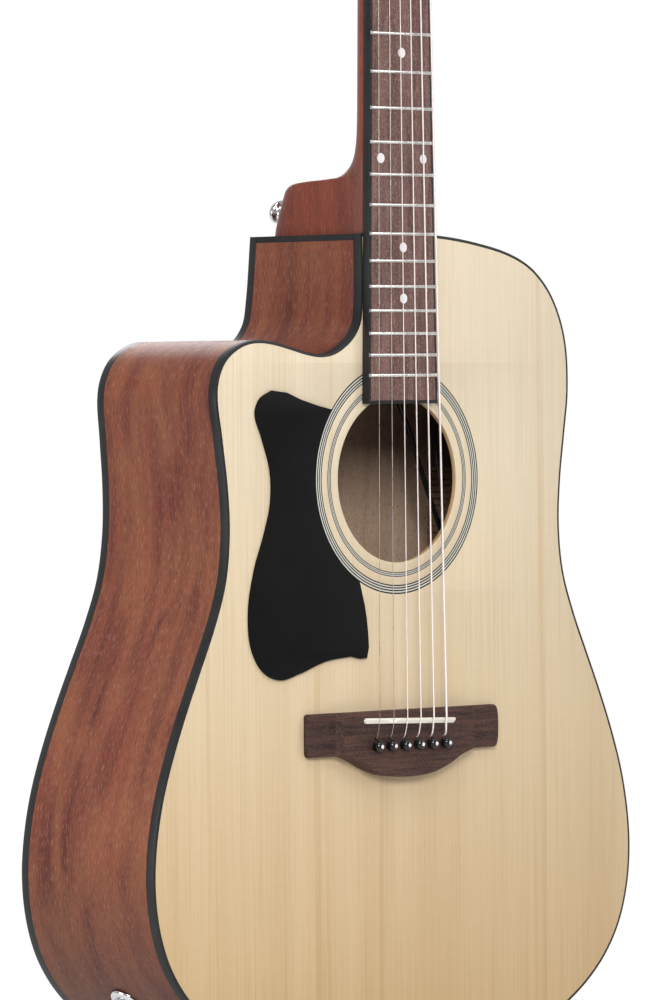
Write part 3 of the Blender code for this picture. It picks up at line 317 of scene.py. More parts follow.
def loft(name, sections, closed=False, matrix=None):
    """A skin over sections of equal count, capped unless closed, with lengths both ways as its UVs."""
    bm = bmesh.new()
    uv = bm.loops.layers.uv.new("lengths")
    rings = [[bm.verts.new(p) for p in section] for section in sections]
    count = len(rings[0])
    around = [0.0]
    middle = sections[len(sections) // 2]
    for k in range(count):
        around.append(around[-1] + (Vector(middle[(k + 1) % count]) - Vector(middle[k])).length)
    along = [0.0]
    for a, b in zip(sections, sections[1:] + sections[:1]):
        along.append(along[-1] + (Vector(b[0]) - Vector(a[0])).length)
    last = len(rings) if closed else len(rings) - 1
    for r in range(last):
        a, b = rings[r], rings[(r + 1) % len(rings)]
        for i in range(count):
            j = (i + 1) % count
            corners = ((a[i], r, i), (a[j], r, i + 1), (b[j], r + 1, i + 1), (b[i], r + 1, i))
            face = bm.faces.new([c[0] for c in corners])
            for loop, (_, u, v) in zip(face.loops, corners):
                loop[uv].uv = (along[u], around[v])
    if not closed:
        bm.faces.new(rings[0])
        bm.faces.new(rings[-1])
    return made(name, bm, matrix)


def sweep(name, path, profile, closed):
    """A strip along the body's outline; its profile is insets and depths."""
    rails = [inset(path, distance, closed) for distance, _ in profile]
    sections = []
    for i in range(len(path)):
        section = []
        for rail, (_, height) in zip(rails, profile):
            section.append((rail[i].x, height(rail[i].x, rail[i].y), rail[i].y))
        sections.append(section)
    return loft(name, sections, closed)


def plate(name, outlines, front, back, matrix=None):
    """A flat piece with holes: outlines in X and Z, cut through from front to back."""
    curve = bpy.data.curves.new(name, "CURVE")
    curve.dimensions = "2D"
    curve.fill_mode = "BOTH"
    curve.extrude = (back - front) / 2
    for outline in outlines:
        spline = curve.splines.new("POLY")
        spline.points.add(len(outline) - 1)
        for point, place in zip(spline.points, outline):
            point.co = (place[0], place[1], 0, 1)
        spline.use_cyclic_u = True
    holder = bpy.data.objects.new(name, curve)
    bpy.context.scene.collection.objects.link(holder)
    graph = bpy.context.evaluated_depsgraph_get()
    mesh = bpy.data.meshes.new_from_object(holder.evaluated_get(graph))
    bpy.data.objects.remove(holder, do_unlink=True)
    bm = bmesh.new()
    bm.from_mesh(mesh)
    bmesh.ops.remove_doubles(bm, verts=bm.verts, dist=0.01 * MM)
    place = shift(0, (front + back) / 2, 0) @ FACE_TURN
    return made(name, bm, (matrix or Matrix.Identity(4)) @ place)


def unit_circle(count):
    """Cosine and sine at equal steps round a circle."""
    return [(math.cos(2 * math.pi * k / count), math.sin(2 * math.pi * k / count)) for k in range(count)]


def turned(name, profile, steps, matrix=None):
    """A piece turned about its own Z: radius and height in mm, from the top down."""
    bm = bmesh.new()
    rings = []
    for r, h in profile:
        on_axis = r < 1e-6
        spots = [(0, 0)] if on_axis else [(r * MM * c, r * MM * s) for c, s in unit_circle(steps)]
        rings.append([bm.verts.new((x, y, h * MM)) for x, y in spots])
    for a, b in zip(rings, rings[1:]):
        for k in range(steps):
            j = (k + 1) % steps
            corners = [a[k % len(a)], a[j % len(a)], b[j % len(b)], b[k % len(b)]]
            unique = list(dict.fromkeys(corners))
            if len(unique) > 2:
                bm.faces.new(unique)
    return made(name, bm, matrix)


def rod(name, radius, top, bottom, steps, matrix):
    """A plain cylinder along its own Z, in mm."""
    return turned(name, [(0, top), (radius, top), (radius, bottom), (0, bottom)], steps, matrix)


def rounded(profile, radius, steps=3):
    """A profile with its corners rounded off; a corner that sits on the axis stays."""
    points = [Vector(p) for p in profile]
    line = [points[0]]
    for a, b, c in zip(points, points[1:], points[2:]):
        if b.x < 1e-6:
            line.append(b)
            continue
        reach = min(radius, (a - b).length * 0.45, (c - b).length * 0.45)
        start, end = b + (a - b).normalized() * reach, b + (c - b).normalized() * reach
        for k in range(steps + 1):
            t = k / steps
            line.append(start * (1 - t) ** 2 + b * 2 * t * (1 - t) + end * t ** 2)
    line.append(points[-1])
    return [(p.x, p.y) for p in line]


def tube(name, points, radius, sides=12):
    """A wire or lead along a line of points, with a frame that doesn't twist."""
    line = [Vector(p) for p in points]
    tangents = []
    for i in range(len(line)):
        a, b = line[max(0, i - 1)], line[min(len(line) - 1, i + 1)]
        tangents.append((b - a).normalized())
    normal = tangents[0].orthogonal().normalized()
    sections = []
    for point, tangent in zip(line, tangents):
        normal = (normal - tangent * normal.dot(tangent)).normalized()
        other = tangent.cross(normal)
        sections.append([point + (normal * c + other * s) * radius for c, s in unit_circle(sides)])
    return loft(name, sections)


def circle(radius, x, z, count):
    """Points of a circle in X and Z."""
    return [(x + radius * c, z + radius * s) for c, s in unit_circle(count)]


def round_box(half_x, half_z, radius, steps=6):
    """A rounded rectangle in X and Z."""
    points = []
    for quarter, (sx, sz) in enumerate(((1, 1), (-1, 1), (-1, -1), (1, -1))):
        for k in range(steps + 1):
            a = math.pi / 2 * (quarter + k / steps)
            x, z = sx * (half_x - radius), sz * (half_z - radius)
            points.append((x + radius * math.cos(a), z + radius * math.sin(a)))
    return points


def scaled(points):
    """World X and Z of points given in mm across and below the body's top end."""
    return [Vector((x * MM, below(d * MM))) for x, d in points]


def front_edge(distance):
    """Gives the Y at a distance behind the soundboard's face, for any place."""
    return lambda x, z: depth(distance)


def back_edge(distance):
    """Gives the Y at a distance in front of the back's face, for any place."""
    return lambda x, z: back_face(x, z) - distance


def across(index, pitch):
    """X of a string or its pin, counted from the treble side."""
    return (index - 2.5) * pitch


# ---------------------------------------------------------------- materials
def links(tree, *pairs):
    """Joins each output with its input."""
    for source, target in pairs:
        tree.links.new(source, target)


def new_material(name, roughness, metallic=0.0, specular=0.5):
    """A material, with its node tree and its shader."""
    material = bpy.data.materials.new(name)
    material.use_nodes = True
    shader = material.node_tree.nodes["Principled BSDF"]
    shader.inputs["Roughness"].default_value = roughness
    shader.inputs["Metallic"].default_value = metallic
    shader.inputs["Specular IOR Level"].default_value = specular
    return material, material.node_tree, shader


def coordinates(tree, kind="Object", scale=(1, 1, 1)):
    """Texture coordinates in metres, scaled along each axis."""
    place = tree.nodes.new("ShaderNodeTexCoord")
    mapping = tree.nodes.new("ShaderNodeMapping")
    mapping.inputs["Scale"].default_value = scale
    links(tree, (place.outputs[kind], mapping.inputs["Vector"]))
    return mapping.outputs["Vector"]


def noise(tree, vector, scale, detail=3.0, roughness=0.55, distortion=0.0):
    """A noise texture's value at the coordinates."""
    node = tree.nodes.new("ShaderNodeTexNoise")
    node.inputs["Scale"].default_value = scale
    node.inputs["Detail"].default_value = detail
    node.inputs["Roughness"].default_value = roughness
    node.inputs["Distortion"].default_value = distortion
    links(tree, (vector, node.inputs["Vector"]))
    return node.outputs["Fac"]


def ramp(tree, value, *stops):
    """A colour ramp: position and colour pairs."""
    node = tree.nodes.new("ShaderNodeValToRGB")
    elements = node.color_ramp.elements
    while len(elements) < len(stops):
        elements.new(0.5)
    for element, (position, colour) in zip(elements, stops):
        element.position = position
        element.color = (*colour, 1)
    links(tree, (value, node.inputs["Fac"]))
    return node.outputs["Color"]


def span(tree, value, low, high, to_low, to_high):
    """A value mapped from one range to another."""
    node = tree.nodes.new("ShaderNodeMapRange")
    for key, number in (("From Min", low), ("From Max", high), ("To Min", to_low), ("To Max", to_high)):
        node.inputs[key].default_value = number
    links(tree, (value, node.inputs["Value"]))
    return node.outputs["Result"]


def by_height(tree, low, high, to_low, to_high):
    """A value that changes between two heights above the floor."""
    separate = tree.nodes.new("ShaderNodeSeparateXYZ")
    links(tree, (coordinates(tree), separate.inputs[0]))
    return span(tree, separate.outputs["Z"], low, high, to_low, to_high)


def shaded(colour, factor):
    """The colour made lighter or darker."""
    return tuple(min(1.0, c * factor) for c in colour)


def blend_colours(tree, factor, a, b, mode="MIX"):
    """Two colours mixed or multiplied, by a number or a texture."""
    node = tree.nodes.new("ShaderNodeMix")
    node.data_type = "RGBA"
    node.blend_type = mode
    for socket, value in ((node.inputs[0], factor), (node.inputs[6], a), (node.inputs[7], b)):
        if isinstance(value, (int, float)):
            socket.default_value = value
        elif isinstance(value, tuple):
            socket.default_value = (*value, 1)
        else:
            links(tree, (value, socket))
    return node.outputs[2]


def bump(tree, shader, height, distance, strength):
    """Gives a shader relief from a height."""
    node = tree.nodes.new("ShaderNodeBump")
    node.inputs["Distance"].default_value = distance
    node.inputs["Strength"].default_value = strength
    links(tree, (height, node.inputs["Height"]), (node.outputs["Normal"], shader.inputs["Normal"]))


LINE_SHARE = 0.45  # how much the fine lines count for in a wood's tone
TONE_RANGE = 0.28  # how far from its middle the tone reaches the light and the dark colour
SIDE_DARK, SIDE_CLEAR = 0.02, 0.18  # heights between which the sides' painted shade towards the tail fades out
PAINTED_SHADE_HEIGHT, PAINTED_LIGHT_HEIGHT = 0.06, 0.40  # heights between which the soundboard goes from honey to cream: painted shade towards the tail, painted light and sheen towards the neck


def wood(name, light, dark, pore, kind="Object", along="Z", fine=900, broad=55, pores=0.5, pore_scale=1700,
         roughness=0.45, contrast=1.0, relief=0.04, specular=0.25, fleck=None,
         run=0.03, pore_run=0.09, warm=None, painted_tail_shade=None):
    """Straight-grained wood: fine lines, broad streaks and pores drawn out along the grain, with optional
    painted shade towards the tail.
    """
    upright = along == "Z"
    stretch = (1, 1, run) if upright else (run, 1, 1)
    long_stretch = (1, 1, pore_run) if upright else (pore_run, 1, 1)
    material, tree, shader = new_material(name, roughness, specular=specular)
    vector = coordinates(tree, kind, stretch)
    pore_vector = coordinates(tree, kind, long_stretch)
    lines = noise(tree, vector, fine, 2.0, 0.6)
    streaks = noise(tree, vector, broad, 3.0, 0.6, 0.3)
    both = tree.nodes.new("ShaderNodeMath")  # lines and streaks together
    both.operation = "MULTIPLY_ADD"
    both.inputs[1].default_value = LINE_SHARE
    links(tree, (lines, both.inputs[0]), (span(tree, streaks, 0.25, 0.75, 0.0, 0.55), both.inputs[2]))
    half_range = TONE_RANGE / contrast
    tones = (max(0.0, 0.5 - half_range), dark), (min(1.0, 0.5 + half_range), light)
    colour = ramp(tree, both.outputs[0], *tones)
    if warm:
        patch_vector = coordinates(tree, kind, (1, 1, 0.35) if upright else (0.35, 1, 1))
        patches = noise(tree, patch_vector, 34, 4.0, 0.6, 0.5)
        colour = blend_colours(tree, span(tree, patches, 0.40, 0.62, 0.0, 0.65), colour, warm)
    specks = noise(tree, pore_vector, pore_scale, 1.0, 0.5)
    mask = span(tree, specks, 0.60, 0.70, 0.0, pores)
    colour = blend_colours(tree, mask, colour, pore)
    if fleck:
        colour = blend_colours(tree, span(tree, specks, 0.40, 0.30, 0.0, 0.7), colour, fleck)
    # Painted shade: the colour darkens towards the tail, below SIDE_CLEAR.
    if painted_tail_shade:
        shade = by_height(tree, SIDE_DARK, SIDE_CLEAR, 1.0, 0.0)
        colour = blend_colours(tree, shade, colour, (painted_tail_shade,) * 3, "MULTIPLY")
    links(tree, (colour, shader.inputs["Base Color"]))
    links(tree, (span(tree, lines, 0.3, 0.7, roughness + 0.07, roughness - 0.05), shader.inputs["Roughness"]))
    height = span(tree, specks, 0.58, 0.72, 1.0, 0.0)
    bump(tree, shader, height, relief * MM, 0.8)
    return material


def plastic(name, colour, roughness, grain=1800, relief=0.01, spread=0.25, specular=0.25):
    """Moulded or rubbed plastic: slight changes of tone and gloss, and a fine grain."""
    material, tree, shader = new_material(name, roughness, specular=specular)
    vector = coordinates(tree)
    broad = noise(tree, vector, 35, 4.0)
    fine = noise(tree, vector, grain, 2.0)
    tone = ramp(tree, broad, (0.3, shaded(colour, 1 - spread)), (0.7, shaded(colour, 1 + spread)))
    links(tree, (tone, shader.inputs["Base Color"]))
    links(tree, (span(tree, broad, 0.3, 0.7, roughness - 0.05, roughness + 0.08), shader.inputs["Roughness"]))
    bump(tree, shader, fine, relief * MM, 0.6)
    return material


def metal(name, colour, roughness, scratches=500, relief=0.004):
    """Plated or drawn metal with faint smears and handling marks."""
    material, tree, shader = new_material(name, roughness, metallic=1.0)
    vector = coordinates(tree)
    smears = noise(tree, vector, 90, 4.0, 0.6, 0.4)
    fine = noise(tree, vector, scratches, 3.0)
    tone = ramp(tree, smears, (0.35, shaded(colour, 0.86)), (0.65, colour))
    links(tree, (tone, shader.inputs["Base Color"]))
    links(tree, (span(tree, smears, 0.3, 0.7, roughness * 0.7, roughness * 1.5), shader.inputs["Roughness"]))
    bump(tree, shader, fine, relief * MM, 0.4)
    return material


UNCHANGED = (1.0, 1.0, 1.0)  # the colour that leaves another as it is when they are multiplied


def spruce_top():
    """Pale spruce: fine upright lines at uneven spacing, faint broad bands, short cross silk, and painted light
    and shade that change with height.
    """
    material, tree, shader = new_material("spruce_top", 0.42, specular=0.35)
    vector = coordinates(tree, "Object", (1, 1, 0.010))
    bands = noise(tree, vector, 30, 3.0, 0.6, 0.1)
    lines = noise(tree, vector, 820, 2.0, 0.55, 0.1)
    marks = noise(tree, vector, 150, 1.0, 0.5)
    silk = noise(tree, coordinates(tree, "Object", (0.25, 1, 1)), 380, 2.0, 0.6, 0.6)
    # Painted light: the honey base lower down stands for shade, the paler cream base higher up for light and
    # sheen.
    painted_shade_base = ramp(
        tree, bands,
        (0.30, (0.455, 0.308, 0.152)), (0.52, (0.490, 0.343, 0.180)), (0.75, (0.510, 0.365, 0.200)),
    )
    painted_light_base = ramp(
        tree, bands,
        (0.30, (0.600, 0.500, 0.360)), (0.52, (0.640, 0.545, 0.400)), (0.75, (0.660, 0.565, 0.425)),
    )
    base = blend_colours(tree, by_height(tree, PAINTED_SHADE_HEIGHT, PAINTED_LIGHT_HEIGHT, 0.0, 1.0), painted_shade_base, painted_light_base)
    grain = ramp(tree, lines, (0.34, (0.86, 0.81, 0.74)), (0.52, (0.985, 0.98, 0.97)), (0.64, UNCHANGED))
    colour = blend_colours(tree, 0.5, base, grain, "MULTIPLY")
    stripe = ramp(tree, marks, (0.26, (0.90, 0.84, 0.76)), (0.36, UNCHANGED))
    colour = blend_colours(tree, 0.7, colour, stripe, "MULTIPLY")
    fleck = ramp(tree, silk, (0.42, (0.962, 0.952, 0.935)), (0.6, UNCHANGED))
    colour = blend_colours(tree, 0.35, colour, fleck, "MULTIPLY")
    links(tree, (colour, shader.inputs["Base Color"]))
    links(tree, (span(tree, silk, 0.3, 0.7, 0.38, 0.50), shader.inputs["Roughness"]))
    bump(tree, shader, lines, 0.015 * MM, 0.5)
    return material


def ringed(name, colour):
    """One tone of the inlaid fibre rings round the sound hole."""
    material, tree, shader = new_material(name, 0.45, specular=0.25)
    vector = coordinates(tree)
    grain = noise(tree, vector, 1500, 2.0)
    tone = ramp(tree, grain, (0.3, shaded(colour, 0.9)), (0.7, shaded(colour, 1.08)))
    links(tree, (tone, shader.inputs["Base Color"]))
    bump(tree, shader, grain, 0.006 * MM, 0.5)
    return material


def wound(name, colour, roughness, pitch):
    """Round-wound wire: fine turns across the string, with painted shade making the metal's tone deeper in the
    grooves.
    """
    material, tree, shader = new_material(name, roughness, metallic=0.75)
    wave = tree.nodes.new("ShaderNodeTexWave")
    wave.wave_type = "BANDS"
    wave.bands_direction = "X"
    wave.inputs["Scale"].default_value = math.pi / (10 * pitch)
    links(tree, (coordinates(tree, "UV"), wave.inputs["Vector"]))
    smears = noise(tree, coordinates(tree, "Object", (1, 1, 0.4)), 60, 3.0)
    # Painted shade: the grooves between the turns are drawn in a darker tone of the same metal.
    tone = ramp(tree, wave.outputs["Fac"], (0.1, shaded(colour, 0.72)), (0.6, colour))
    tone = blend_colours(tree, span(tree, smears, 0.4, 0.7, 0.0, 0.35), tone, shaded(colour, 0.8))
    links(tree, (tone, shader.inputs["Base Color"]))
    bump(tree, shader, wave.outputs["Fac"], 0.08 * MM, 0.7)
    return material


SPRUCE_TOP = spruce_top()
HOLE_EDGE = wood(
    "spruce_edge", (0.60, 0.40, 0.22), (0.42, 0.26, 0.13), (0.28, 0.16, 0.08), fine=1500, pores=0.2,
)
MAHOGANY_SIDE = wood(
    "mahogany_side", (0.210, 0.054, 0.028), (0.088, 0.017, 0.012), (0.035, 0.010, 0.008),
    kind="UV", along="U", fine=1300, broad=100, pores=0.7, pore_scale=2000, roughness=0.44, relief=0.05,
    contrast=1.35, specular=0.3, fleck=(0.31, 0.155, 0.105), pore_run=0.10, warm=(0.252, 0.086, 0.037),
    # painted shade on the sides towards the tail
    painted_tail_shade=0.26,
)
MAHOGANY = wood(
    "mahogany", (0.215, 0.042, 0.021), (0.105, 0.018, 0.011), (0.040, 0.010, 0.008),
    fine=1300, broad=90, pores=0.6, pore_scale=2000, roughness=0.44, relief=0.05, contrast=1.2, specular=0.3,
    fleck=(0.27, 0.092, 0.052), pore_run=0.10, warm=(0.215, 0.056, 0.027),
)
INNER_MAHOGANY = wood(
    "mahogany_inner", (0.640, 0.455, 0.335), (0.450, 0.305, 0.212), (0.20, 0.12, 0.08),
    fine=900, broad=60, pores=0.6, pore_scale=1500, roughness=0.7, relief=0.05, pore_run=0.3,
)
SPRUCE_INNER = wood(
    "spruce_inner", (0.52, 0.39, 0.25), (0.40, 0.28, 0.17), (0.30, 0.20, 0.12),
    fine=800, broad=60, pores=0.3, roughness=0.7,
)
LINING_WOOD = wood(
    "lining_wood", (0.40, 0.27, 0.18), (0.26, 0.165, 0.105), (0.15, 0.09, 0.06), kind="UV", along="U",
    fine=900, broad=70, pores=0.4, roughness=0.75,
)
BOARD_WOOD = wood(
    "fretboard_wood", (0.195, 0.108, 0.090), (0.085, 0.040, 0.034), (0.026, 0.013, 0.012),
    fine=1500, broad=260, pores=0.8, pore_scale=2300, roughness=0.55, contrast=1.1, relief=0.05,
    fleck=(0.34, 0.245, 0.215), run=0.08, pore_run=0.3,
)
BRIDGE_WOOD = wood(
    "bridge_wood", (0.078, 0.036, 0.026), (0.018, 0.0095, 0.0085), (0.009, 0.005, 0.005), along="X",
    fine=1300, broad=320, pores=0.8, pore_scale=2200, roughness=0.55, contrast=1.3, relief=0.06,
    fleck=(0.150, 0.064, 0.042), run=0.08, pore_run=0.22,
)
BINDING = plastic("binding_black", (0.016, 0.016, 0.017), 0.40, relief=0.008)
GUARD_BLACK = plastic(
    "pickguard_black", (0.0062, 0.0062, 0.0068), 0.40, relief=0.004, specular=0.06, spread=0.1,
)
PIN_BLACK = plastic("pin_black", (0.005, 0.005, 0.006), 0.14, relief=0.001, specular=0.5)
CONTROL_BLACK = plastic("control_black", (0.020, 0.020, 0.022), 0.48, grain=2600, relief=0.02)
BUTTON_GREY = plastic("button_grey", (0.16, 0.16, 0.165), 0.40, grain=2600, relief=0.01)
RUBBER = plastic("lead_rubber", (0.012, 0.012, 0.013), 0.30, grain=1500, relief=0.02, specular=0.5)
BONE = plastic("bone", (0.74, 0.705, 0.62), 0.36, grain=700, relief=0.006, spread=0.05)
PEARL = plastic("pearl_dot", (0.72, 0.69, 0.71), 0.25, grain=300, relief=0.002, spread=0.06)
MARK_WHITE = plastic("mark_white", (0.72, 0.72, 0.70), 0.45, spread=0.04)
PICKUP_STRIP = plastic("pickup_strip", (0.20, 0.20, 0.19), 0.45, grain=2200, relief=0.04)
CHROME = metal("chrome", (0.78, 0.78, 0.79), 0.09)
NICKEL = metal("fret_nickel", (0.80, 0.79, 0.76), 0.20)
STEEL = metal("steel", (0.50, 0.50, 0.50), 0.32)
STRING_STEEL = metal("string_plain", (0.60, 0.57, 0.55), 0.30)
STRING_WOUND = wound("string_wound", (1.0, 0.90, 0.87), 0.42, 0.35 * MM)
RING_BLACK = ringed("ring_black", (0.008, 0.008, 0.008))
RING_GREY = ringed("ring_grey", (0.090, 0.090, 0.085))
RING_WHITE = ringed("ring_white", (0.54, 0.53, 0.47))

# ---------------------------------------------------------------- body
half = scaled(HALF_OUTLINE)
mirrored = [Vector((-p.x, p.y)) for p in half]
BASS_PATH = smooth(half + scaled(BASS_SHOULDER), OUTLINE_STEPS, before=mirrored[1], after=(20 * MM, below(0)))
TREBLE_PATH = smooth(scaled(CUTAWAY) + mirrored[::-1], OUTLINE_STEPS, after=half[1])
OUTLINE = BASS_PATH + TREBLE_PATH[:-1]
HOLE_Z = below(HOLE_FROM_TOP)
inner_outline = inset(OUTLINE, BINDING_WIDTH + 0.04 * MM, True)
RINGS = {  # radii from the inside out, in mm, and the tone of each band: 0 black, 1 grey, 2 white
    "rosette_outer": [
        (62.2, 0), (62.95, 2), (63.65, 0), (64.4, 2), (65.15, 0), (65.95, 2), (66.75, 0), (67.6, None),
    ],
    "rosette_inner": [(54.8, 0), (55.35, 2), (55.85, 1), (56.45, 2), (56.95, 0), (57.5, None)],
}


def hole_circle(radius):
    """A circle about the sound hole's centre."""
    return circle(radius, 0, HOLE_Z, HOLE_STEPS)


board_edges = [inner_outline, hole_circle(HOLE_RADIUS)]
soundboard = plate("soundboard_shaped", board_edges, depth(0), depth(PLATE_THICKNESS))
for ring_name, bands in RINGS.items():
    edges = [hole_circle(bands[end][0] * MM) for end in (-1, 0)]
    combine(soundboard, plate(ring_name + "_groove", edges, depth(-1 * MM), depth(ROSETTE_DEPTH)))
    bm = bmesh.new()
    rows = []
    for r, _ in bands:
        rows.append([bm.verts.new((x, depth(-0.03 * MM), z)) for x, z in hole_circle(r * MM)])
    for front_row in (rows[-1], rows[0]):
        rows.append([bm.verts.new((v.co.x, depth(ROSETTE_DEPTH - HAIR), v.co.z)) for v in front_row])
    rows.append(rows[0])
    for k, (a, b) in enumerate(zip(rows, rows[1:])):
        tone = bands[k][1] if k < len(bands) - 1 else 0
        for i in range(HOLE_STEPS):
            j = (i + 1) % HOLE_STEPS
            face = bm.faces.new((a[i], a[j], b[j], b[i]))
            face.material_index = tone
    ring = made(ring_name + "_rings", bm)
    indices = [p.material_index for p in ring.data.polygons]  # add() resets them
    add(ring, "rosette", [RING_BLACK, RING_GREY, RING_WHITE], ring_name)
    ring.data.polygons.foreach_set("material_index", indices)

bevelled(soundboard, 0.35 * MM, 2, 60)
add(soundboard, "spruce_top", [SPRUCE_TOP, HOLE_EDGE], "soundboard")
for polygon in soundboard.data.polygons:
    spot = Vector((polygon.center.x, polygon.center.z - HOLE_Z))
    if abs(spot.length - HOLE_RADIUS) < 0.5 * MM and abs(polygon.normal.y) < 0.9:
        polygon.material_index = 1  # the walls of the round hole

SHEET_COLUMNS, SHEET_ROWS = 36, 48
SHEET_HALF_WIDTH, SHEET_HALF_LENGTH = 230 * MM, 280 * MM  # past the outline on every side
sections = []
for r in range(SHEET_ROWS + 1):
    z = BODY_TOP - BODY_LENGTH / 2 + (2 * r / SHEET_ROWS - 1) * SHEET_HALF_LENGTH
    outer, inner = [], []
    for c in range(SHEET_COLUMNS + 1):
        x = (2 * c / SHEET_COLUMNS - 1) * SHEET_HALF_WIDTH
        outer.append((x, back_face(x, z), z))
        inner.append((x, back_face(x, z) - PLATE_THICKNESS, z))
    sections.append(outer + inner[::-1])
back = plate("back_shaped", [inner_outline], depth(70 * MM), depth(140 * MM))
combine(back, loft("back_sheet", sections), "INTERSECT")
add(back, "mahogany", [MAHOGANY, INNER_MAHOGANY], "back_plate", sharp=25)
for polygon in back.data.polygons:
    if polygon.normal.y < 0:
        polygon.material_index = 1  # the face inside the body

side_front, side_back = front_edge(BINDING_DEPTH + HAIR), back_edge(BINDING_DEPTH + HAIR)
bass_run = [Vector((HAIR, BASS_PATH[0].y))] + BASS_PATH[1:]
bass_run.append(Vector((CORNER_X + BINDING_WIDTH + GAP, BODY_TOP)))
treble_run = [Vector((CORNER_X, BODY_TOP - END_STRIP - 0.1 * MM))] + TREBLE_PATH[1:-1]
treble_run.append(Vector((-HAIR, TREBLE_PATH[-1].y)))
side_profile = [(0, side_front), (0, side_back), (SIDE_THICKNESS, side_back), (SIDE_THICKNESS, side_front)]
side_bass = sweep("side_bass_bent", bass_run, side_profile, False)
side_treble = sweep("side_treble_bent", treble_run, side_profile, False)
for side in (side_bass, side_treble):
    for polygon in side.data.polygons:
        if abs(polygon.normal.y) < 0.5 and polygon.index % 4 == 2:
            polygon.material_index = 1  # the profile's inner face

for end, edge in (("front", front_edge), ("back", back_edge)):
    rim = [  # insets and depths, with the outer corner rounded
        (0, edge(BINDING_DEPTH)), (0, edge(0.6 * MM)), (0.18 * MM, edge(0.18 * MM)), (0.6 * MM, edge(0)),
        (BINDING_WIDTH, edge(0)), (BINDING_WIDTH, edge(BINDING_DEPTH)),
    ]
    strip = sweep("binding_%s_strip" % end, OUTLINE, rim, True)
    add(strip, "black_binding", BINDING, "binding_" + end)


def kerfed(name, path, outer_edge, toward):
    """A lining strip: a thin web beside the side and a row of sawn blocks on it."""
    outside = inset(path, LINING_INSET, False)
    along = [0.0]
    for a, b in zip(path, path[1:]):
        along.append(along[-1] + (b - a).length)
    bm = bmesh.new()
    uv = bm.loops.layers.uv.new("lengths")

    def at(s):
        k = max(i for i in range(len(along) - 1) if along[i] <= s)
        t = (s - along[k]) / (along[k + 1] - along[k])
        point = outside[k].lerp(outside[k + 1], t)
        direction = (outside[k + 1] - outside[k]).normalized()
        return point, Vector((-direction.y, direction.x))

    def block(start, end, thick):
        corners = []
        for s in (start, end):
            point, normal = at(s)
            for across_share, down in ((0, 0), (1, 0), (1, 0.35), (0.25, 1), (0, 1)):
                place = point + normal * thick * across_share
                y = outer_edge(place.x, place.y) + toward * LINING_DEPTH * down
                corners.append(bm.verts.new((place.x, y, place.y)))
        a, b = corners[:5], corners[5:]
        for i in range(5):
            j = (i + 1) % 5
            face = bm.faces.new((a[i], a[j], b[j], b[i]))
            for loop, (u, v) in zip(face.loops, ((start, i), (start, i + 1), (end, i + 1), (end, i))):
                loop[uv].uv = (u, v * 3 * MM)
        bm.faces.new(a)
        bm.faces.new(b)

    count = int(along[-1] / KERF_PITCH)
    for k in range(count):
        start = k * KERF_PITCH
        block(start, start + KERF_PITCH - KERF_WIDTH, LINING_WIDTH)
        block(start + KERF_PITCH - KERF_WIDTH, min(start + KERF_PITCH, along[-1]), LINING_WEB)
    return made(name, bm)


LINING = TREBLE_PATH[3 * OUTLINE_STEPS // 2:] + BASS_PATH[1:-OUTLINE_STEPS]
lining_gap = PLATE_THICKNESS + GAP
for end, edge, toward in (("front", front_edge, 1), ("back", back_edge, -1)):
    strip = kerfed("lining_%s_kerfed" % end, LINING, edge(lining_gap), toward)
    add(strip, "spruce_inner", LINING_WOOD, "lining_" + end)

# ---------------------------------------------------------------- pickguard
GUARD = [
    (-103, 91), (-112.5, 96), (-116, 104), (-110.6, 119), (-104.5, 137), (-104.2, 155), (-109.5, 173.5),
    (-117.3, 193), (-122.6, 218), (-120.4, 239.6), (-111, 253.2), (-98, 258), (-83, 255), (-61, 248.4),
    (-40.5, 246.2),
]
GUARD_CORNER = [(-40.5, 246.2), (-27.6, 247.6), (-26.5, 233), (-29, 217)]
GUARD_TOP = [(-66, 100), (-80, 96.3), (-91, 92.3)]
GUARD_RADIUS = 68.2 * MM
ARC_START, ARC_SWEEP, ARC_STEPS = 241, 98, 60  # degrees round the hole's centre
guard_line = smooth(scaled(GUARD), 8) + smooth(scaled(GUARD_CORNER), 2)[1:]
for step in range(ARC_STEPS + 1):
    angle = math.radians(ARC_START - ARC_SWEEP * step / ARC_STEPS)
    guard_line.append((GUARD_RADIUS * math.cos(angle), HOLE_Z + GUARD_RADIUS * math.sin(angle)))
guard_line += scaled(GUARD_TOP)
guard = plate("pickguard_sheet", [guard_line], depth(-1.6 * MM), depth(-HAIR))
bevelled(guard, 0.7 * MM, 3, 50)
add(guard, "pickguard", GUARD_BLACK, "pickguard")

# ---------------------------------------------------------------- bridge
LOWER = [(0, 317.8), (20, 316.2), (34, 311.8), (44, 307), (53, 304.2), (62, 303.8), (80.2, 303.8)]


def bridge_lower(x):
    """Distance below the body's top of the bridge's lower edge."""
    x = abs(x) / MM
    a, b = [(p, q) for p, q in zip(LOWER, LOWER[1:]) if p[0] <= x + 1e-6][-1]
    k = LOWER.index(a)
    p0 = LOWER[k - 1] if k else (-LOWER[1][0], LOWER[1][1])
    p3 = LOWER[k + 2] if k + 2 < len(LOWER) else (2 * b[0] - a[0], b[1])
    t = (x - a[0]) / (b[0] - a[0])
    slope_a = (b[1] - p0[1]) / (b[0] - p0[0]) * (b[0] - a[0])
    slope_b = (p3[1] - a[1]) / (p3[0] - a[0]) * (b[0] - a[0])
    shares = hermite(t)
    return (a[1] * shares[0] + slope_a * shares[1] + b[1] * shares[2] + slope_b * shares[3]) * MM


def bridge_height(x):
    """Height of the bridge's top: full in the middle, scooped down to thin wings."""
    t = min(1.0, max(0.0, (abs(x) - (WING_STEP - 0.5 * MM)) / WING_SLOPE))
    eased = 1 - (1 - t) ** 2.5
    return BRIDGE_THICKNESS + (WING_THICKNESS - BRIDGE_THICKNESS) * eased


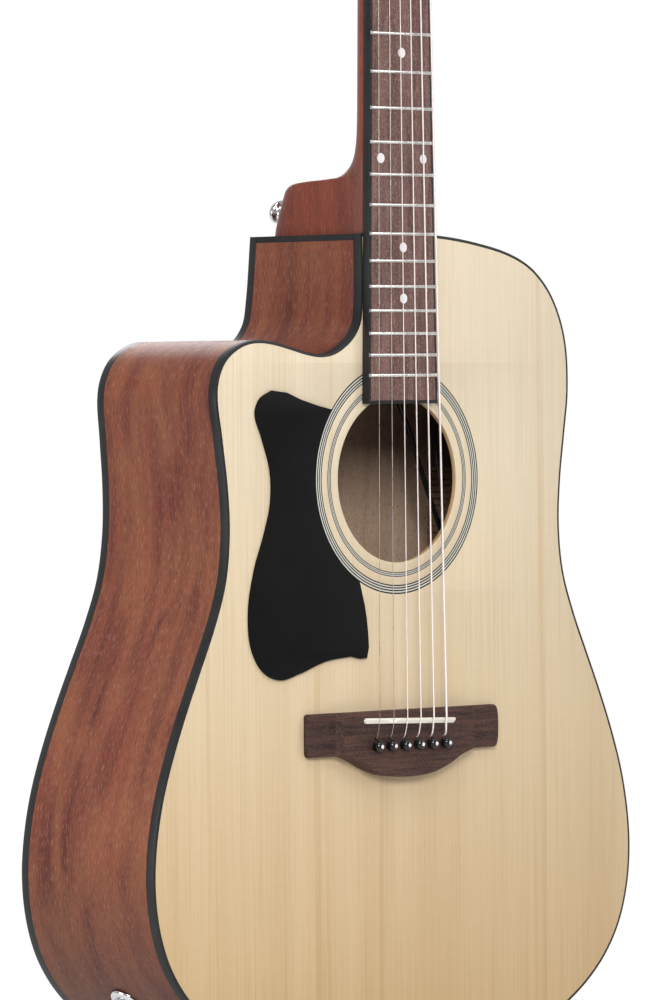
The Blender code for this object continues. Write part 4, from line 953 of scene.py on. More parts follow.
BRIDGE_UPPER = 278.6 * MM
ACROSS = [0, 0.006, 0.02, 0.05, 0.1, 0.25, 0.4, 0.55, 0.7, 0.82, 0.92, 0.96, 0.985, 1.0]
ENDS = [0.965, 0.98, 0.992, 0.998, 1]
sections = []
for t in [-t for t in ENDS[::-1]] + [k / 80 for k in range(-76, 77)] + ENDS:
    section = []
    edge_drop = 0.8 * MM * (1 - min(1, (1 - abs(t)) / 0.01) ** 0.5) if abs(t) > 0.99 else 0
    for u in ACROSS:
        half_length = BRIDGE_HALF - 1.8 * MM * (2 * u - 1) ** 4
        x = t * half_length
        corner_cut = 2.0 * MM * max(0.0, (abs(t) - 0.975) / 0.025) ** 3
        top, low = BRIDGE_UPPER + corner_cut, bridge_lower(x) - corner_cut
        nose = min(1.0, u / 0.05, (1 - u) / 0.04)
        height = bridge_height(x) - edge_drop - 1.1 * MM * (1 - math.sqrt(max(0.0, nose * (2 - nose))))
        section.append((x, depth(-height), below(top + (low - top) * u)))
    foot = [(p[0], depth(-HAIR), p[2]) for p in (section[-1], section[0])]
    sections.append(section + foot)
bridge = loft("bridge_carved", sections)
saddle_place = shift(0, 0, SADDLE_Z) @ Matrix.Rotation(SADDLE_SLANT, 4, "Y")
half_saddle = SADDLE_LENGTH / 2
combine(bridge, plate(
    "saddle_slot", [round_box(half_saddle + 0.1 * MM, SADDLE_THICKNESS / 2 + 0.08 * MM, 1.6 * MM)],
    depth(-14 * MM), depth(-3.5 * MM), saddle_place,
))
pin_row = below(PIN_ROW_FROM_TOP)
for index in range(6):
    for shape, size, z in (("bore", 2.7 * MM, pin_row), ("slot", 1.2 * MM, pin_row + PIN_RADIUS + 0.6 * MM)):
        hole = circle(size, across(index, PIN_PITCH), z, 20)
        combine(bridge, plate(shape, [hole], depth(-14 * MM), depth(0.5 * MM)))
add(bridge, "rosewood", BRIDGE_WOOD, "bridge", sharp=30)

PIN_PROFILE = [
    (0, 5.6), (0.9, 5.5), (1.9, 5.1), (2.7, 4.5), (3.25, 3.7), (3.45, 2.8), (3.3, 1.9), (2.85, 1.15),
    (2.5, 0.8), (2.5, 0.45), (2.9, 0.35), (2.95, 0.05), (2.5, -0.2), (2.45, -3), (2.3, -13.5), (1.6, -14.4),
    (0, -14.6),
]
PIN_DOT_PROFILE = [(0, 5.76), (0.6, 5.73), (1.0, 5.62), (1.12, 5.45), (1.12, 5.2), (0, 5.2)]
for index in range(6):
    place = shift(across(index, PIN_PITCH), depth(-BRIDGE_THICKNESS), pin_row) @ FACE_TURN
    add(turned("bridge_pin_%d" % (index + 1), PIN_PROFILE, 40, place), "pickguard", PIN_BLACK)
    add(turned("bridge_pin_dot_%d" % (index + 1), PIN_DOT_PROFILE, 28, place), "bone", PEARL)


def arch(x):
    """How far the fretboard's curve has dropped at a distance from its middle."""
    return x ** 2 / (2 * BOARD_RADIUS)


def crest(x):
    """How far behind the saddle's middle its top line runs, set back under the second string."""
    second = math.exp(-((x - across(1, SADDLE_PITCH)) / SET_BACK_REACH) ** 4)
    return (0.85 - 1.9 * second) * MM


saddle_sections = []
SADDLE_CUTS = 76
for k in range(SADDLE_CUTS + 1):
    x = SADDLE_LENGTH * (k / SADDLE_CUTS - 0.5)
    ends = max(0.0, abs(x) - half_saddle + 1.6 * MM) / (1.6 * MM)
    t = SADDLE_THICKNESS / 2 * math.sqrt(max(0.02, 1 - min(1, ends) ** 2))
    top = SADDLE_STRING - 0.1 * MM - arch(x) - 1.3 * MM * ends ** 2
    ridge = crest(x) * t / (SADDLE_THICKNESS / 2)
    heights = [
        (-t, 5.0 * MM), (-t, top - 1.15 * MM - 0.5 * ridge), (ridge - 0.35 * MM, top - 0.08 * MM),
        (ridge, top),
        (ridge + 0.35 * MM, top - 0.08 * MM), (t, top - 1.15 * MM + 0.5 * ridge), (t, 5.0 * MM),
    ]
    saddle_sections.append([(x, depth(-h), z) for z, h in heights])
add(loft("saddle_shaped", saddle_sections, matrix=saddle_place), "bone", BONE, "saddle", sharp=28)

# ---------------------------------------------------------------- neck and head
HEEL = [  # height above the body's top end, depth at the back, share of the heel's own shape
    (0.3, 91.2, 1), (6, 89.9, 1), (14, 87, 1), (22, 83.8, 1), (27.5, 81, 1), (30.3, 77, 1), (31.9, 67, 1),
    (32.9, 47, 1), (35, 30.5, 0.85), (40, 23.5, 0.55), (46, 19.5, 0.25), (54, 17, 0.1), (66, 15.8, 0),
    (90, 15.5, 0),
]
NECK_POINTS = 26
HEEL_HALF = 17.5 * MM


def half_width(down):
    """Half width of the neck and fretboard at a distance from the nut."""
    return NUT_HALF + (BODY_FRET_HALF - NUT_HALF) * down / (NUT_Z - BODY_TOP)


def neck_section(z, back_depth, heel_share, front=0.0, width=None):
    """A D shape for the shaft, drawn out to a narrow foot for the heel."""
    w = width or half_width(NUT_Z - z)
    points = []
    for k in range(NECK_POINTS + 1):
        t = k / NECK_POINTS
        angle = math.pi / 2 * t
        shaft_x = w * max(0.0, math.cos(angle)) ** 0.85
        shaft_y = back_depth * math.sin(angle)
        heel_y = back_depth * (1 - (1 - t) ** 1.5)
        foot = HEEL_HALF + (w - HEEL_HALF) * math.exp(-heel_y / (17 * MM))
        heel_x = foot * (1 - t ** 7) ** 0.5
        x = heel_share * heel_x + (1 - heel_share) * shaft_x
        y = heel_share * heel_y + (1 - heel_share) * shaft_y
        points.append((x, depth(front + y * (back_depth - front) / back_depth), z))
    return points + [(-x, y, z) for x, y, z in points[-2::-1]]


sections = []
for h, d, share in smooth([Vector(row) for row in HEEL], 5):
    sections.append(neck_section(BODY_TOP + h * MM, d * MM, min(1.0, max(0.0, share))))
SHAFT_STEPS = 12
shaft_start = BODY_TOP + 90 * MM
for step in range(1, SHAFT_STEPS + 1):
    z = shaft_start + (NUT_Z + NUT_THICKNESS - shaft_start) * step / SHAFT_STEPS
    sections.append(neck_section(z, (15.5 - 1.2 * step / SHAFT_STEPS) * MM, 0))
for share in (0.25, 0.5, 0.75, 1):
    sections.append(neck_section(
        NUT_Z + (5 + 9 * share) * MM, (14.3 + 1.2 * share) * MM, 0,
        front=4.5 * MM * share ** 0.8, width=NUT_HALF - 2.3 * MM * share,
    ))
neck = loft("neck_carved", sections)
head_place = shift(0, depth(0), NUT_Z + NUT_THICKNESS) @ Matrix.Rotation(
    math.radians(-HEAD_TILT), 4, "X"
)
HEAD_SIDE = [(21.4, 0.5), (25, 14), (32.5, 30), (35.5, 48), (35.5, 100), (37, 150), (37.5, 172)]
HEAD_END = [(37.5, 172), (30, 178), (14, 180.5), (0, 181)]
head_right = smooth([(x * MM, z * MM) for x, z in HEAD_SIDE], 8)
head_right += smooth([(x * MM, z * MM) for x, z in HEAD_END], 4)[1:]
head_outline = head_right + [(-p[0], p[1]) for p in head_right[-2::-1]]
head = bevelled(plate("head_slab", [head_outline], 0, HEAD_THICKNESS), 1.2 * MM, 3, 50)
head.data.transform(head_place)
combine(neck, head, "UNION")
combine(neck, box("rod_pocket", (9 * MM, 14 * MM, 32 * MM), (0, 2 * MM, 13 * MM), head_place))
POSTS = [(-POST_X, z) for z in POST_ROWS] + [(POST_X, z) for z in POST_ROWS[::-1]]
for x, z in POSTS:
    combine(neck, plate("bushing_hole", [circle(5 * MM, x, z, 32)], -5 * MM, 20 * MM, head_place))
add(neck, "mahogany", MAHOGANY, "neck", sharp=30)
COVER = [(0, 36), (6, 33), (11, 24), (12, 12), (9, 2)]
cover_left = smooth([(-x * MM, z * MM) for x, z in COVER], 6)
cover_outline = cover_left + [(-p[0], p[1]) for p in cover_left[:0:-1]]
cover = bevelled(plate("rod_cover", [cover_outline], -1.8 * MM, -HAIR), 0.4 * MM, 2, 50)
cover.data.transform(head_place)
add(cover, "black_binding", BINDING, "truss_rod_cover")
SCREW = [(0, 0.55), (0.8, 0.5), (1.4, 0.3), (1.6, 0), (1.6, -0.4), (0, -0.4)]


def screw(name, radius, place):
    """A small domed screw head with a cross recess, facing its own Z."""
    head = turned(name, [(r * radius / 1.6, h * radius / 1.6) for r, h in SCREW], 24, place)
    arm_size = (radius * 1.1 * MM, radius * 0.22 * MM, 1 * MM)
    for turn in (0, math.pi / 2):
        combine(head, box("arm", arm_size, (0, 0, 0.5 * MM), place @ Matrix.Rotation(turn, 4, "Z")))
    return head


for number, (x, z) in enumerate(((0, 31.5), (-7, 6), (7, 6)), 1):
    place = head_place @ shift(x * MM, -1.8 * MM, z * MM) @ FACE_TURN
    add(screw("cover_screw_%d" % number, 1.5, place), "steel", STEEL)

# ---------------------------------------------------------------- fretboard
ACROSS_STEPS = 20


def board_line(half_length, height):
    """Points across the board at a height, following its curve."""
    line = []
    for k in range(ACROSS_STEPS + 1):
        x = half_length * (1 - 2 * k / ACROSS_STEPS)
        line.append((x, depth(-(height - arch(x)))))
    return line


sections = []
for down in (GAP, BOARD_LENGTH - BOARD_BINDING - HAIR):
    w = half_width(down) - BOARD_BINDING - HAIR
    outline = [(-w, depth(-GAP)), (w, depth(-GAP))] + board_line(w, BOARD_THICKNESS)
    sections.append([(x, y, NUT_Z - down) for x, y in outline])
add(loft("fretboard_planed", sections), "rosewood", BOARD_WOOD, "fretboard")
CROWN = [  # a fret's section, as shares of its width and height
    (-0.5, 0), (-0.46, 0.34), (-0.36, 0.66), (-0.2, 0.92), (0, 1), (0.2, 0.92), (0.36, 0.66), (0.46, 0.34),
    (0.5, 0),
]


def from_nut(number):
    """Distance of a fret from the nut."""
    return SCALE_LENGTH * (1 - 2 ** (-number / 12))


def mid_space(fret):
    """Distance from the nut to the middle of the space before a fret."""
    return (from_nut(fret) + from_nut(fret - 1)) / 2


for number in range(1, FRET_COUNT + 1):
    w = half_width(from_nut(number)) - 0.35 * MM
    sections = []
    for k in range(ACROSS_STEPS + 1):
        share = 1 - 2 * k / ACROSS_STEPS
        section = []
        for along, up in CROWN:
            x = (w - 0.75 * MM * up ** 1.5) * share
            height = BOARD_THICKNESS + 0.02 * MM + FRET_HEIGHT * up
            section.append((x, depth(-(height - arch(x))), NUT_Z - from_nut(number) + along * FRET_WIDTH))
        sections.append(section)
    add(loft("fret_%02d" % number, sections), "chrome", NICKEL, sharp=50)


def dot(name, x, z, radius):
    """A round inlay, level with the curved board."""
    bm = bmesh.new()
    rim = 32
    rows = []
    for share, lift in ((0.0, 0.05), (0.55, 0.05), (0.97, 0.045), (1.0, -0.3)):
        ring = []
        for k in range(rim if share else 1):
            px = x + radius * share * math.cos(2 * math.pi * k / rim)
            pz = z + radius * share * math.sin(2 * math.pi * k / rim)
            ring.append(bm.verts.new((px, depth(-(BOARD_THICKNESS + lift * MM - arch(px))), pz)))
        rows.append(ring)
    for a, b in zip(rows, rows[1:]):
        for k in range(rim):
            j = (k + 1) % rim
            corners = list(dict.fromkeys([a[k % len(a)], a[j % len(a)], b[j], b[k]]))
            bm.faces.new(corners)
    bm.faces.new(rows[-1][::-1])
    return made(name, bm)


DOTS = [  # fret, place across the face, and how far the side dot is moved along the edge, in mm
    (3, 0, 0), (5, 0, 0), (7, 0, 0), (9, 0, 0), (12, -17.6, -3), (12, 17.6, 3), (15, 0, 0), (17, 0, 0),
]
for number, (fret, x, _) in enumerate(DOTS, 1):
    add(dot("dot_%d" % number, x * MM, NUT_Z - mid_space(fret), 3 * MM), "bone", PEARL)

end_half, top_half = half_width(BOARD_LENGTH), half_width(0)
board_end = NUT_Z - BOARD_LENGTH
right = [(end_half, board_end), (top_half, NUT_Z - GAP), (top_half - BOARD_BINDING, NUT_Z - GAP),
         (end_half - BOARD_BINDING, board_end + BOARD_BINDING)]
u_shape = right + [(-x, z) for x, z in right[::-1]]
edge_top = depth(-BOARD_THICKNESS + arch(BODY_FRET_HALF) + HAIR)
edging = plate("fretboard_edging", [u_shape], edge_top, depth(-GAP))
add(bevelled(edging, 0.35 * MM, 2, 50), "black_binding", BINDING, "fretboard_binding")
SIDE_DOT = [(0, 0.06), (0.9, 0.05), (1, -0.05), (1, -0.5), (0, -0.5)]
for number, (fret, _, moved) in enumerate(DOTS, 1):
    down = mid_space(fret) + moved * MM
    place = shift(half_width(down), depth(-3 * MM), NUT_Z - down) @ SIDE_TURN
    add(turned("side_dot_%d" % number, SIDE_DOT, 20, place), "bone", MARK_WHITE)

sections = []
NUT_CUTS = 110
for k in range(NUT_CUTS + 1):
    x = NUT_HALF * (2 * k / NUT_CUTS - 1)
    top = 8.3 * MM - arch(x) - 0.5 * MM * max(0.0, (abs(x) - NUT_HALF + 1 * MM) / MM) ** 2
    groove = 0.0
    for index, diameter in enumerate(STRING_DIAMETERS):
        off = abs(x - across(index, NUT_PITCH))
        if off < diameter / 2 + 0.25 * MM:
            groove = top - (NUT_STRING - arch(x) - HAIR)
    front, rear = GAP, NUT_THICKNESS - GAP
    sections.append([
        (x, depth(-GAP), NUT_Z + front), (x, depth(-(top - groove - 0.4 * MM)), NUT_Z + front),
        (x, depth(-(top - groove)), NUT_Z + front + 0.35 * MM), (x, depth(-(top - groove)), NUT_Z + 2.4 * MM),
        (x, depth(-(top - groove - 1.2 * MM)), NUT_Z + rear - 0.2 * MM), (x, depth(-GAP), NUT_Z + rear),
    ])
add(loft("nut_shaped", sections), "bone", BONE, "nut", sharp=28)

# ---------------------------------------------------------------- strings
WRAP_TURNS = 2.5
WRAP_POINTS = 28
OPEN_STEPS = 24  # points between the saddle and the nut
BALL_PROFILE = [
    (0.7, 1.4), (1.7, 1.4), (2.0, 1.1), (1.75, 0), (2.0, -1.1), (1.7, -1.4), (0.7, -1.4), (0.7, 1.4),
]
for index, diameter in enumerate(STRING_DIAMETERS):
    r = diameter / 2
    pin_x, saddle_x, nut_x = across(index, PIN_PITCH), across(index, SADDLE_PITCH), across(index, NUT_PITCH)
    slot_z = pin_row + PIN_RADIUS + STRING_SLOT / 2 - 1.2 * MM
    ridge = crest(saddle_x)
    saddle_z = SADDLE_Z - saddle_x * math.tan(SADDLE_SLANT) + ridge
    over_saddle = depth(-(SADDLE_STRING + r - arch(saddle_x)))
    over_nut = depth(-(NUT_STRING + r - arch(nut_x)))
    ball_y = depth(PLATE_THICKNESS + GAP + 4.9 * MM)
    points = smooth([
        (pin_x, ball_y, slot_z), (pin_x, depth(-5 * MM), slot_z),
        (pin_x, depth(-BRIDGE_THICKNESS + 0.4 * MM), slot_z),
        (pin_x + (saddle_x - pin_x) * 0.12, depth(-BRIDGE_THICKNESS - r - 0.5 * MM), slot_z + 1.0 * MM),
        (saddle_x, over_saddle + 0.4 * MM, saddle_z - 1.7 * MM), (saddle_x, over_saddle, saddle_z),
    ], 5)
    for k in range(1, OPEN_STEPS + 1):
        t = k / OPEN_STEPS
        points.append((
            saddle_x + (nut_x - saddle_x) * t,
            over_saddle + (over_nut - over_saddle) * t,
            saddle_z + (NUT_Z - saddle_z) * t,
        ))
    points.append((nut_x, over_nut + HAIR, NUT_Z + NUT_THICKNESS - 0.8 * MM))
    post_x, post_z = POSTS[index]
    outward = math.copysign(1, post_x)
    wrap = POST_RADIUS + r + HAIR
    start_angle = math.pi if outward > 0 else 0
    for k in range(int(WRAP_TURNS * WRAP_POINTS) + 1):
        angle = start_angle - outward * 2 * math.pi * k / WRAP_POINTS
        height = 8.6 * MM - (diameter + 0.15 * MM) * k / WRAP_POINTS
        spot = Vector((post_x + wrap * math.cos(angle), -height, post_z + wrap * math.sin(angle)))
        points.append(head_place @ spot)
    finish_of = STRING_STEEL if index < PLAIN_STRINGS else STRING_WOUND
    string = tube("string_wire_%d" % (index + 1), points, r, 10)
    add(string, "string_metal", finish_of, "string_%d" % (index + 1), sharp=60)
    ball_place = shift(pin_x, ball_y, slot_z) @ SIDE_TURN
    add(turned("string_ball_%d" % (index + 1), BALL_PROFILE, 24, ball_place), "string_metal", STEEL)

# ---------------------------------------------------------------- tuners
POST_PROFILE = [
    (0, 15), (2.2, 15), (2.75, 14.8), (3, 14.3), (3, 11.4), (2.75, 10.4), (2.5, 9.8), (2.45, 9.2), (2.5, 8.6),
    (2.8, 7.8), (3, 7.2), (3, -21), (0, -21),
]
BUSHING = [
    (3.25, 2.5), (5.0, 2.6), (5.2, 2.45), (5.2, 1.3), (6.4, 1.2), (6.6, 0.95), (6.6, 0.06), (4.6, 0.06),
    (4.6, -16), (3.25, -16), (3.25, 2.5),
]
BUTTON_SHAPE = [  # distance out from the worm's axis end, half width, half thickness
    (18.9, 2.0, 2.0), (19.2, 2.8, 2.8), (19.8, 3.35, 3.2), (21.2, 3.45, 3.3), (22.0, 3.7, 3.3),
    (24.2, 6.3, 3.7), (27.5, 7.6, 4.1), (31, 7.85, 4.3), (34, 7.0, 4.2), (36.2, 5.2, 3.5),
    (37.2, 3.2, 2.3), (37.5, 0.9, 0.7),
]
for index, (x, z) in enumerate(POSTS):
    number = index + 1
    outward = math.copysign(1, x)
    place = head_place @ shift(x, 0, z)
    worm_place = place @ shift(0, HEAD_THICKNESS + 6 * MM, -WORM_OFFSET) @ Matrix.Rotation(
        outward * math.pi / 2, 4, "Y"
    )
    case = plate("tuner_case_%d" % number, [round_box(6.9 * MM, 11.4 * MM, 4.5 * MM)],
                 HEAD_THICKNESS + 0.06 * MM, HEAD_THICKNESS + 12 * MM, place @ shift(0, 0, -3.5 * MM))
    case = bevelled(case, 2.4 * MM, 5, 50)
    collar = turned("collar", rounded([(0, 9.5), (3.9, 9.5), (3.9, 5), (0, 5)], 0.5), 32, worm_place)
    combine(case, collar, "UNION")
    combine(case, rod("worm_bore", 2.25, 12, 4, 32, worm_place))
    dimple = rod("dimple", 2.9, 1, -0.6, 32,
                    place @ shift(0, HEAD_THICKNESS + 12 * MM, 0) @ BACK_TURN)
    combine(case, dimple)
    combine(case, rod("post_bore", 3.25, 1, -21.2, 32, place @ FACE_TURN))
    add(case, "chrome", CHROME, "tuner_housing_%d" % number, sharp=30)
    add(turned("tuner_bushing_%d" % number, BUSHING, 48, place @ FACE_TURN), "chrome", CHROME)
    screw_place = place @ shift(0, HEAD_THICKNESS + 11.6 * MM, -9.5 * MM) @ BACK_TURN
    add(screw("tuner_screw_%d" % number, 1.4, screw_place), "steel", STEEL)
    post = turned("tuner_shaft_%d" % number, POST_PROFILE, 40, place @ FACE_TURN)
    combine(post, rod("eye", 0.8, 5, -5, 16,
                         place @ shift(0, -9.2 * MM, 0) @ SIDE_TURN))
    add(post, "chrome", CHROME, "tuner_post_%d" % number, body="tuner_post_body_%d" % number)
    shaft = rod("tuner_button_%d" % number, 2, 19.5, 5, 32, worm_place)
    sections = []
    for h, w, t in smooth([Vector(row) for row in BUTTON_SHAPE], 3):
        sections.append([(t * MM * c, w * MM * s, h * MM) for c, s in unit_circle(40)])
    combine(shaft, loft("paddle", sections, matrix=worm_place), "UNION")
    add(shaft, "chrome", CHROME, "tuner_knob_%d" % number, body="tuner_knob_body_%d" % number)

# ---------------------------------------------------------------- strap buttons and jack
STRAP_HEIGHT = 11.2
STRAP_BUTTON = [
    (0, 0), (1.2, 0), (6.2, 0.0), (6.9, 0.35), (7.2, 1.0), (7.2, 2.2), (6.8, 3.0), (5.7, 3.7), (4.7, 4.7),
    (4.2, 6.2), (4.3, 7.4), (5.0, 8.6), (6.2, 9.6), (7.1, 10.2), (7.4, 10.7), (7.4, STRAP_HEIGHT),
    (0, STRAP_HEIGHT),
]
strap_profile = [(r, -h) for r, h in STRAP_BUTTON]
end_place = Matrix.Rotation(math.pi, 4, "X")
LEAN = math.radians(18)
heel_foot = Vector((0, depth(87.9 * MM), BODY_TOP + 12.4 * MM))
heel_out = Vector((0, math.cos(LEAN), math.sin(LEAN)))
heel_place = Matrix.Translation(heel_foot + heel_out * (STRAP_HEIGHT * MM + 2 * GAP))
heel_place = heel_place @ Matrix.Rotation(LEAN - math.pi / 2, 4, "X")
for where, place in (("end", end_place), ("heel", heel_place)):
    button = turned("strap_stud_" + where, strap_profile, 64, place)
    recess = turned("recess", [(0, 1), (2.9, 1), (2.3, -1.2), (0, -1.2)], 40, place)
    combine(button, recess)
    add(button, "chrome", CHROME, "strap_button_" + where)
    add(screw("strap_screw_" + where, 2.2, place @ shift(0, 0, -1.3 * MM)), "chrome", CHROME)

coarse = smooth(scaled(CUTAWAY) + mirrored[::-1], 2, after=half[1])
coarse_index = min(range(1, len(coarse) - 1), key=lambda i: abs(coarse[i].y - below(JACK_FROM_TOP)))
tangent = (coarse[coarse_index + 1] - coarse[coarse_index - 1]).normalized()
jack_out = Vector((tangent.y, 0, -tangent.x))
jack_turn = Vector((0, 0, 1)).rotation_difference(jack_out).to_matrix().to_4x4()
jack_spot = Vector((coarse[coarse_index].x, depth(JACK_DEPTH), coarse[coarse_index].y))
jack_place = Matrix.Translation(jack_spot) @ jack_turn
JACK_OUTER = [
    (3.3, 4.2), (5.3, 4.2), (5.7, 4.05), (6.0, 3.6), (6.0, 2.5), (8.2, 2.3), (9.1, 1.9), (9.7, 1.2),
    (9.8, 0.6), (5.6, 0.6), (5.6, -26), (4.4, -27), (4.4, -31), (0, -31), (0, -28), (3.3, -28), (3.3, 4.2),
]
add(turned("jack_socket", JACK_OUTER, 64, jack_place), "chrome", CHROME, "output_jack")
combine(side_treble, rod("jack_bore", 6.2, 6, -10, 48, jack_place))

# ---------------------------------------------------------------- preamp
preamp_place = shift(PREAMP_X, depth(PREAMP_DEPTH), below(PREAMP_FROM_TOP)) @ Matrix.Rotation(
    PREAMP_TILT, 4, "Y"
)
CASE = (50 * MM, 38 * MM, 76 * MM)
PANEL = (46 * MM, 86 * MM)
TRAY = (34 * MM, 26 * MM, 17 * MM)
TRAY_Z = -24 * MM
FLAT_TURN = Matrix.Rotation(math.pi / 2, 4, "Z")  # a plate's front towards the panel's outside


def panel_plate(name, outline, low, high):
    """A plate parallel to the panel, between two heights over its middle plane."""
    return plate(name, [outline], -high, -low, preamp_place @ FLAT_TURN)


panel = panel_plate("preamp_panel", round_box(PANEL[0] / 2, PANEL[1] / 2, 4 * MM), -PANEL_FACE, PANEL_FACE)
panel = bevelled(panel, 0.8 * MM, 3, 50)
combine(panel, plate("outer_skin", [inset(OUTLINE, -0.06 * MM, True)], depth(0), depth(110 * MM)))
case_box = bevelled(box("case_box", CASE, (PANEL_FACE - 1 * MM - CASE[0] / 2, 0, 0)), 1.5 * MM, 3, 50)
case_box.data.transform(preamp_place)
combine(panel, case_box, "UNION")
tray_room = box(
    "tray_room", (TRAY[0] + 2 * MM, TRAY[1] + 1 * MM, TRAY[2] + 1 * MM),
    (PANEL_FACE - TRAY[0] / 2 + 1 * MM, 0, TRAY_Z), preamp_place,
)
combine(panel, tray_room)
opening_size = (40 * MM, CASE[1] + 1 * MM, CASE[2] + 1 * MM)
combine(side_bass, box("side_opening", opening_size, (0, 0, 0), preamp_place))
RIB_COUNT = 28
TICK_SIZE = (0.35 * MM, 1.0 * MM, 0.12 * MM)
LAMP_PROFILE = [(0, 0.7), (0.6, 0.62), (1.1, 0.3), (1.2, 0.02), (1.2, -0.4), (0, -0.4)]
knob_profile = rounded([(0, 9), (5.6, 9), (6.6, 1.2), (6.8, 0.4), (0, 0.4)], 0.6)
for knob_name, y in (("volume", -9 * MM), ("tone", 9 * MM)):
    place = preamp_place @ shift(PANEL_FACE, y, 24 * MM) @ SIDE_TURN
    body = "preamp_%s_knob_body" % knob_name
    knob = turned("%s_knob_grip" % knob_name, knob_profile, 3 * RIB_COUNT, place)
    middle = place.to_translation()
    axis = (place.to_3x3() @ Vector((0, 0, 1))).normalized()
    for k, vertex in enumerate(knob.data.vertices):
        out = vertex.co - middle
        height = out.dot(axis)
        flat = out - axis * height
        if flat.length > 5.2 * MM and 1.2 * MM < height < 8.2 * MM and k % 3 == 0:
            vertex.co -= flat.normalized() * 0.3 * MM
    mark = box("mark", (0.9 * MM, 5 * MM, 1.0 * MM), (0, 3.4 * MM, 9.1 * MM), place)
    combine(knob, mark)
    combine(knob, rod("shaft", 1.3, 2, -5, 24, place), "UNION")
    add(knob, "control_black", CONTROL_BLACK, "preamp_%s_knob" % knob_name, body=body, sharp=40)
    line = box("%s_knob_mark" % knob_name, (0.7 * MM, 4.6 * MM, 0.3 * MM), (0, 3.4 * MM, 8.78 * MM), place)
    add(bevelled(line, 0.08 * MM, 1), "button_grey", MARK_WHITE, body=body)
    combine(panel, rod("shaft_hole", 1.6, 3, -6, 24, place))
    for tick in range(11):
        at = place @ Matrix.Rotation(math.radians(-140 + 28 * tick), 4, "Z")
        stroke = box("%s_tick_%02d" % (knob_name, tick), TICK_SIZE, (0, 7.9 * MM, HAIR), at)
        add(stroke, "button_grey", MARK_WHITE)
button_place = preamp_place @ shift(PANEL_FACE, 0, 3 * MM) @ SIDE_TURN
combine(panel, rod("button_hole", 2.8, 4, -6, 32, button_place))
button = turned("push_button_cap", rounded([(0, 2.4), (2.5, 2.4), (2.5, -3), (0, -3)], 0.6), 40, button_place)
add(button, "button_grey", BUTTON_GREY, "tuner_push_button", body="tuner_push_button_body")
lamp_place = button_place @ shift(0, 6 * MM, 0)
add(turned("tuner_lamp", LAMP_PROFILE, 24, lamp_place), "button_grey", MARK_WHITE)
tray_place = preamp_place @ shift(PANEL_FACE, 0, TRAY_Z)
tray = box("battery_drawer", (TRAY[0] + 1 * MM, TRAY[1], TRAY[2]), (0.5 * MM - TRAY[0] / 2, 0, 0), tray_place)
lip = box("tray_lip", (2 * MM, TRAY[1] + 5 * MM, TRAY[2] + 5 * MM), (1 * MM + 0.06 * MM, 0, 0))
bevelled(lip, 0.7 * MM, 3)
lip.data.transform(tray_place)
combine(tray, lip, "UNION")
hollow_size = (TRAY[0] - 4 * MM, TRAY[1] - 3 * MM, TRAY[2])
combine(tray, box("tray_hollow", hollow_size, (-TRAY[0] / 2, 0, 2 * MM), tray_place))
for rib in range(5):
    cut = box("rib_cut", (1 * MM, 12 * MM, 0.7 * MM), (2.3 * MM, 0, (rib - 2) * 1.6 * MM), tray_place)
    combine(tray, cut)
add(tray, "control_black", CONTROL_BLACK, "battery_tray", body="battery_tray_body", sharp=30)
add(panel, "control_black", CONTROL_BLACK, "preamp_case", sharp=30)
for number, (y, z) in enumerate(((-19.5, 39.5), (19.5, 39.5), (-19.5, -39.5), (19.5, -39.5)), 1):
    place = preamp_place @ shift(PANEL_FACE, y * MM, z * MM) @ SIDE_TURN
    add(screw("panel_screw_%d" % number, 1.5, place), "steel", STEEL)
add(side_bass, "mahogany", [MAHOGANY_SIDE, INNER_MAHOGANY], "side_bass", sharp=30)
add(side_treble, "mahogany", [MAHOGANY_SIDE, INNER_MAHOGANY], "side_treble", sharp=30)

# ---------------------------------------------------------------- leads
LEAD_X = 30 * MM
CORD_RADIUS = 1.6 * MM
PICKUP_STOPS = [(52, 34, 235), (78, 42, 190), (88, 50, 155), (88, 54, 128)]
JACK_STOPS = [
    (73, 54, 70), (58, 57, 78), (60, 58.5, 96), (69.5, 60, 114), (86, 62, 148), (103, 64, 182),
    (116, 68, 225), (142, 72, 290), (166, 72, 350), (150, 70, 415), (90, 66, 462), (10, 62, 474), (-70, 58, 458),
]


def in_body(stops):
    """World places of points given in mm: across, behind the soundboard's face, below the top end."""
    return [(x * MM, depth(d * MM), below(b * MM)) for x, d, b in stops]


lead_z = SADDLE_Z - LEAD_X * math.tan(SADDLE_SLANT)
case_inside = PANEL_FACE - 1 * MM - CASE[0]
case_end = preamp_place @ Vector((case_inside - 0.9 * MM - GAP, 4 * MM, -10 * MM))
pickup_route = [
    (LEAD_X, depth(-4.4 * MM), lead_z), (LEAD_X, depth(9 * MM), lead_z),
    (LEAD_X + 6 * MM, depth(24 * MM), lead_z + 8 * MM), *in_body(PICKUP_STOPS), case_end,
]
jack_end = jack_place @ Vector((0, 0, -31 * MM - GAP))
jack_near = jack_place @ Vector((0, 0, -44 * MM))
case_side = preamp_place @ Vector((case_inside - GAP, 2 * MM, 24 * MM))
case_exit = preamp_place @ Vector((case_inside - 7 * MM, 2 * MM, 24 * MM))
jack_route = [case_side, case_exit, *in_body(JACK_STOPS), jack_near, jack_end]
add(tube("jack_cable", smooth(jack_route, 8), CORD_RADIUS, 16), "lead_rubber", RUBBER, "jack_lead", sharp=60)
strip = box("pickup_strip", (SADDLE_LENGTH - 4 * MM, 1.4 * MM, 2.4 * MM), (0, depth(-4.4 * MM), 0))
bevelled(strip, 0.4 * MM, 2)
strip.data.transform(saddle_place)
add(strip, "pickup", PICKUP_STRIP, "saddle_pickup")
add(tube("pickup_cable", smooth(pickup_route, 8), 0.9 * MM, 12), "pickup", RUBBER, sharp=60)

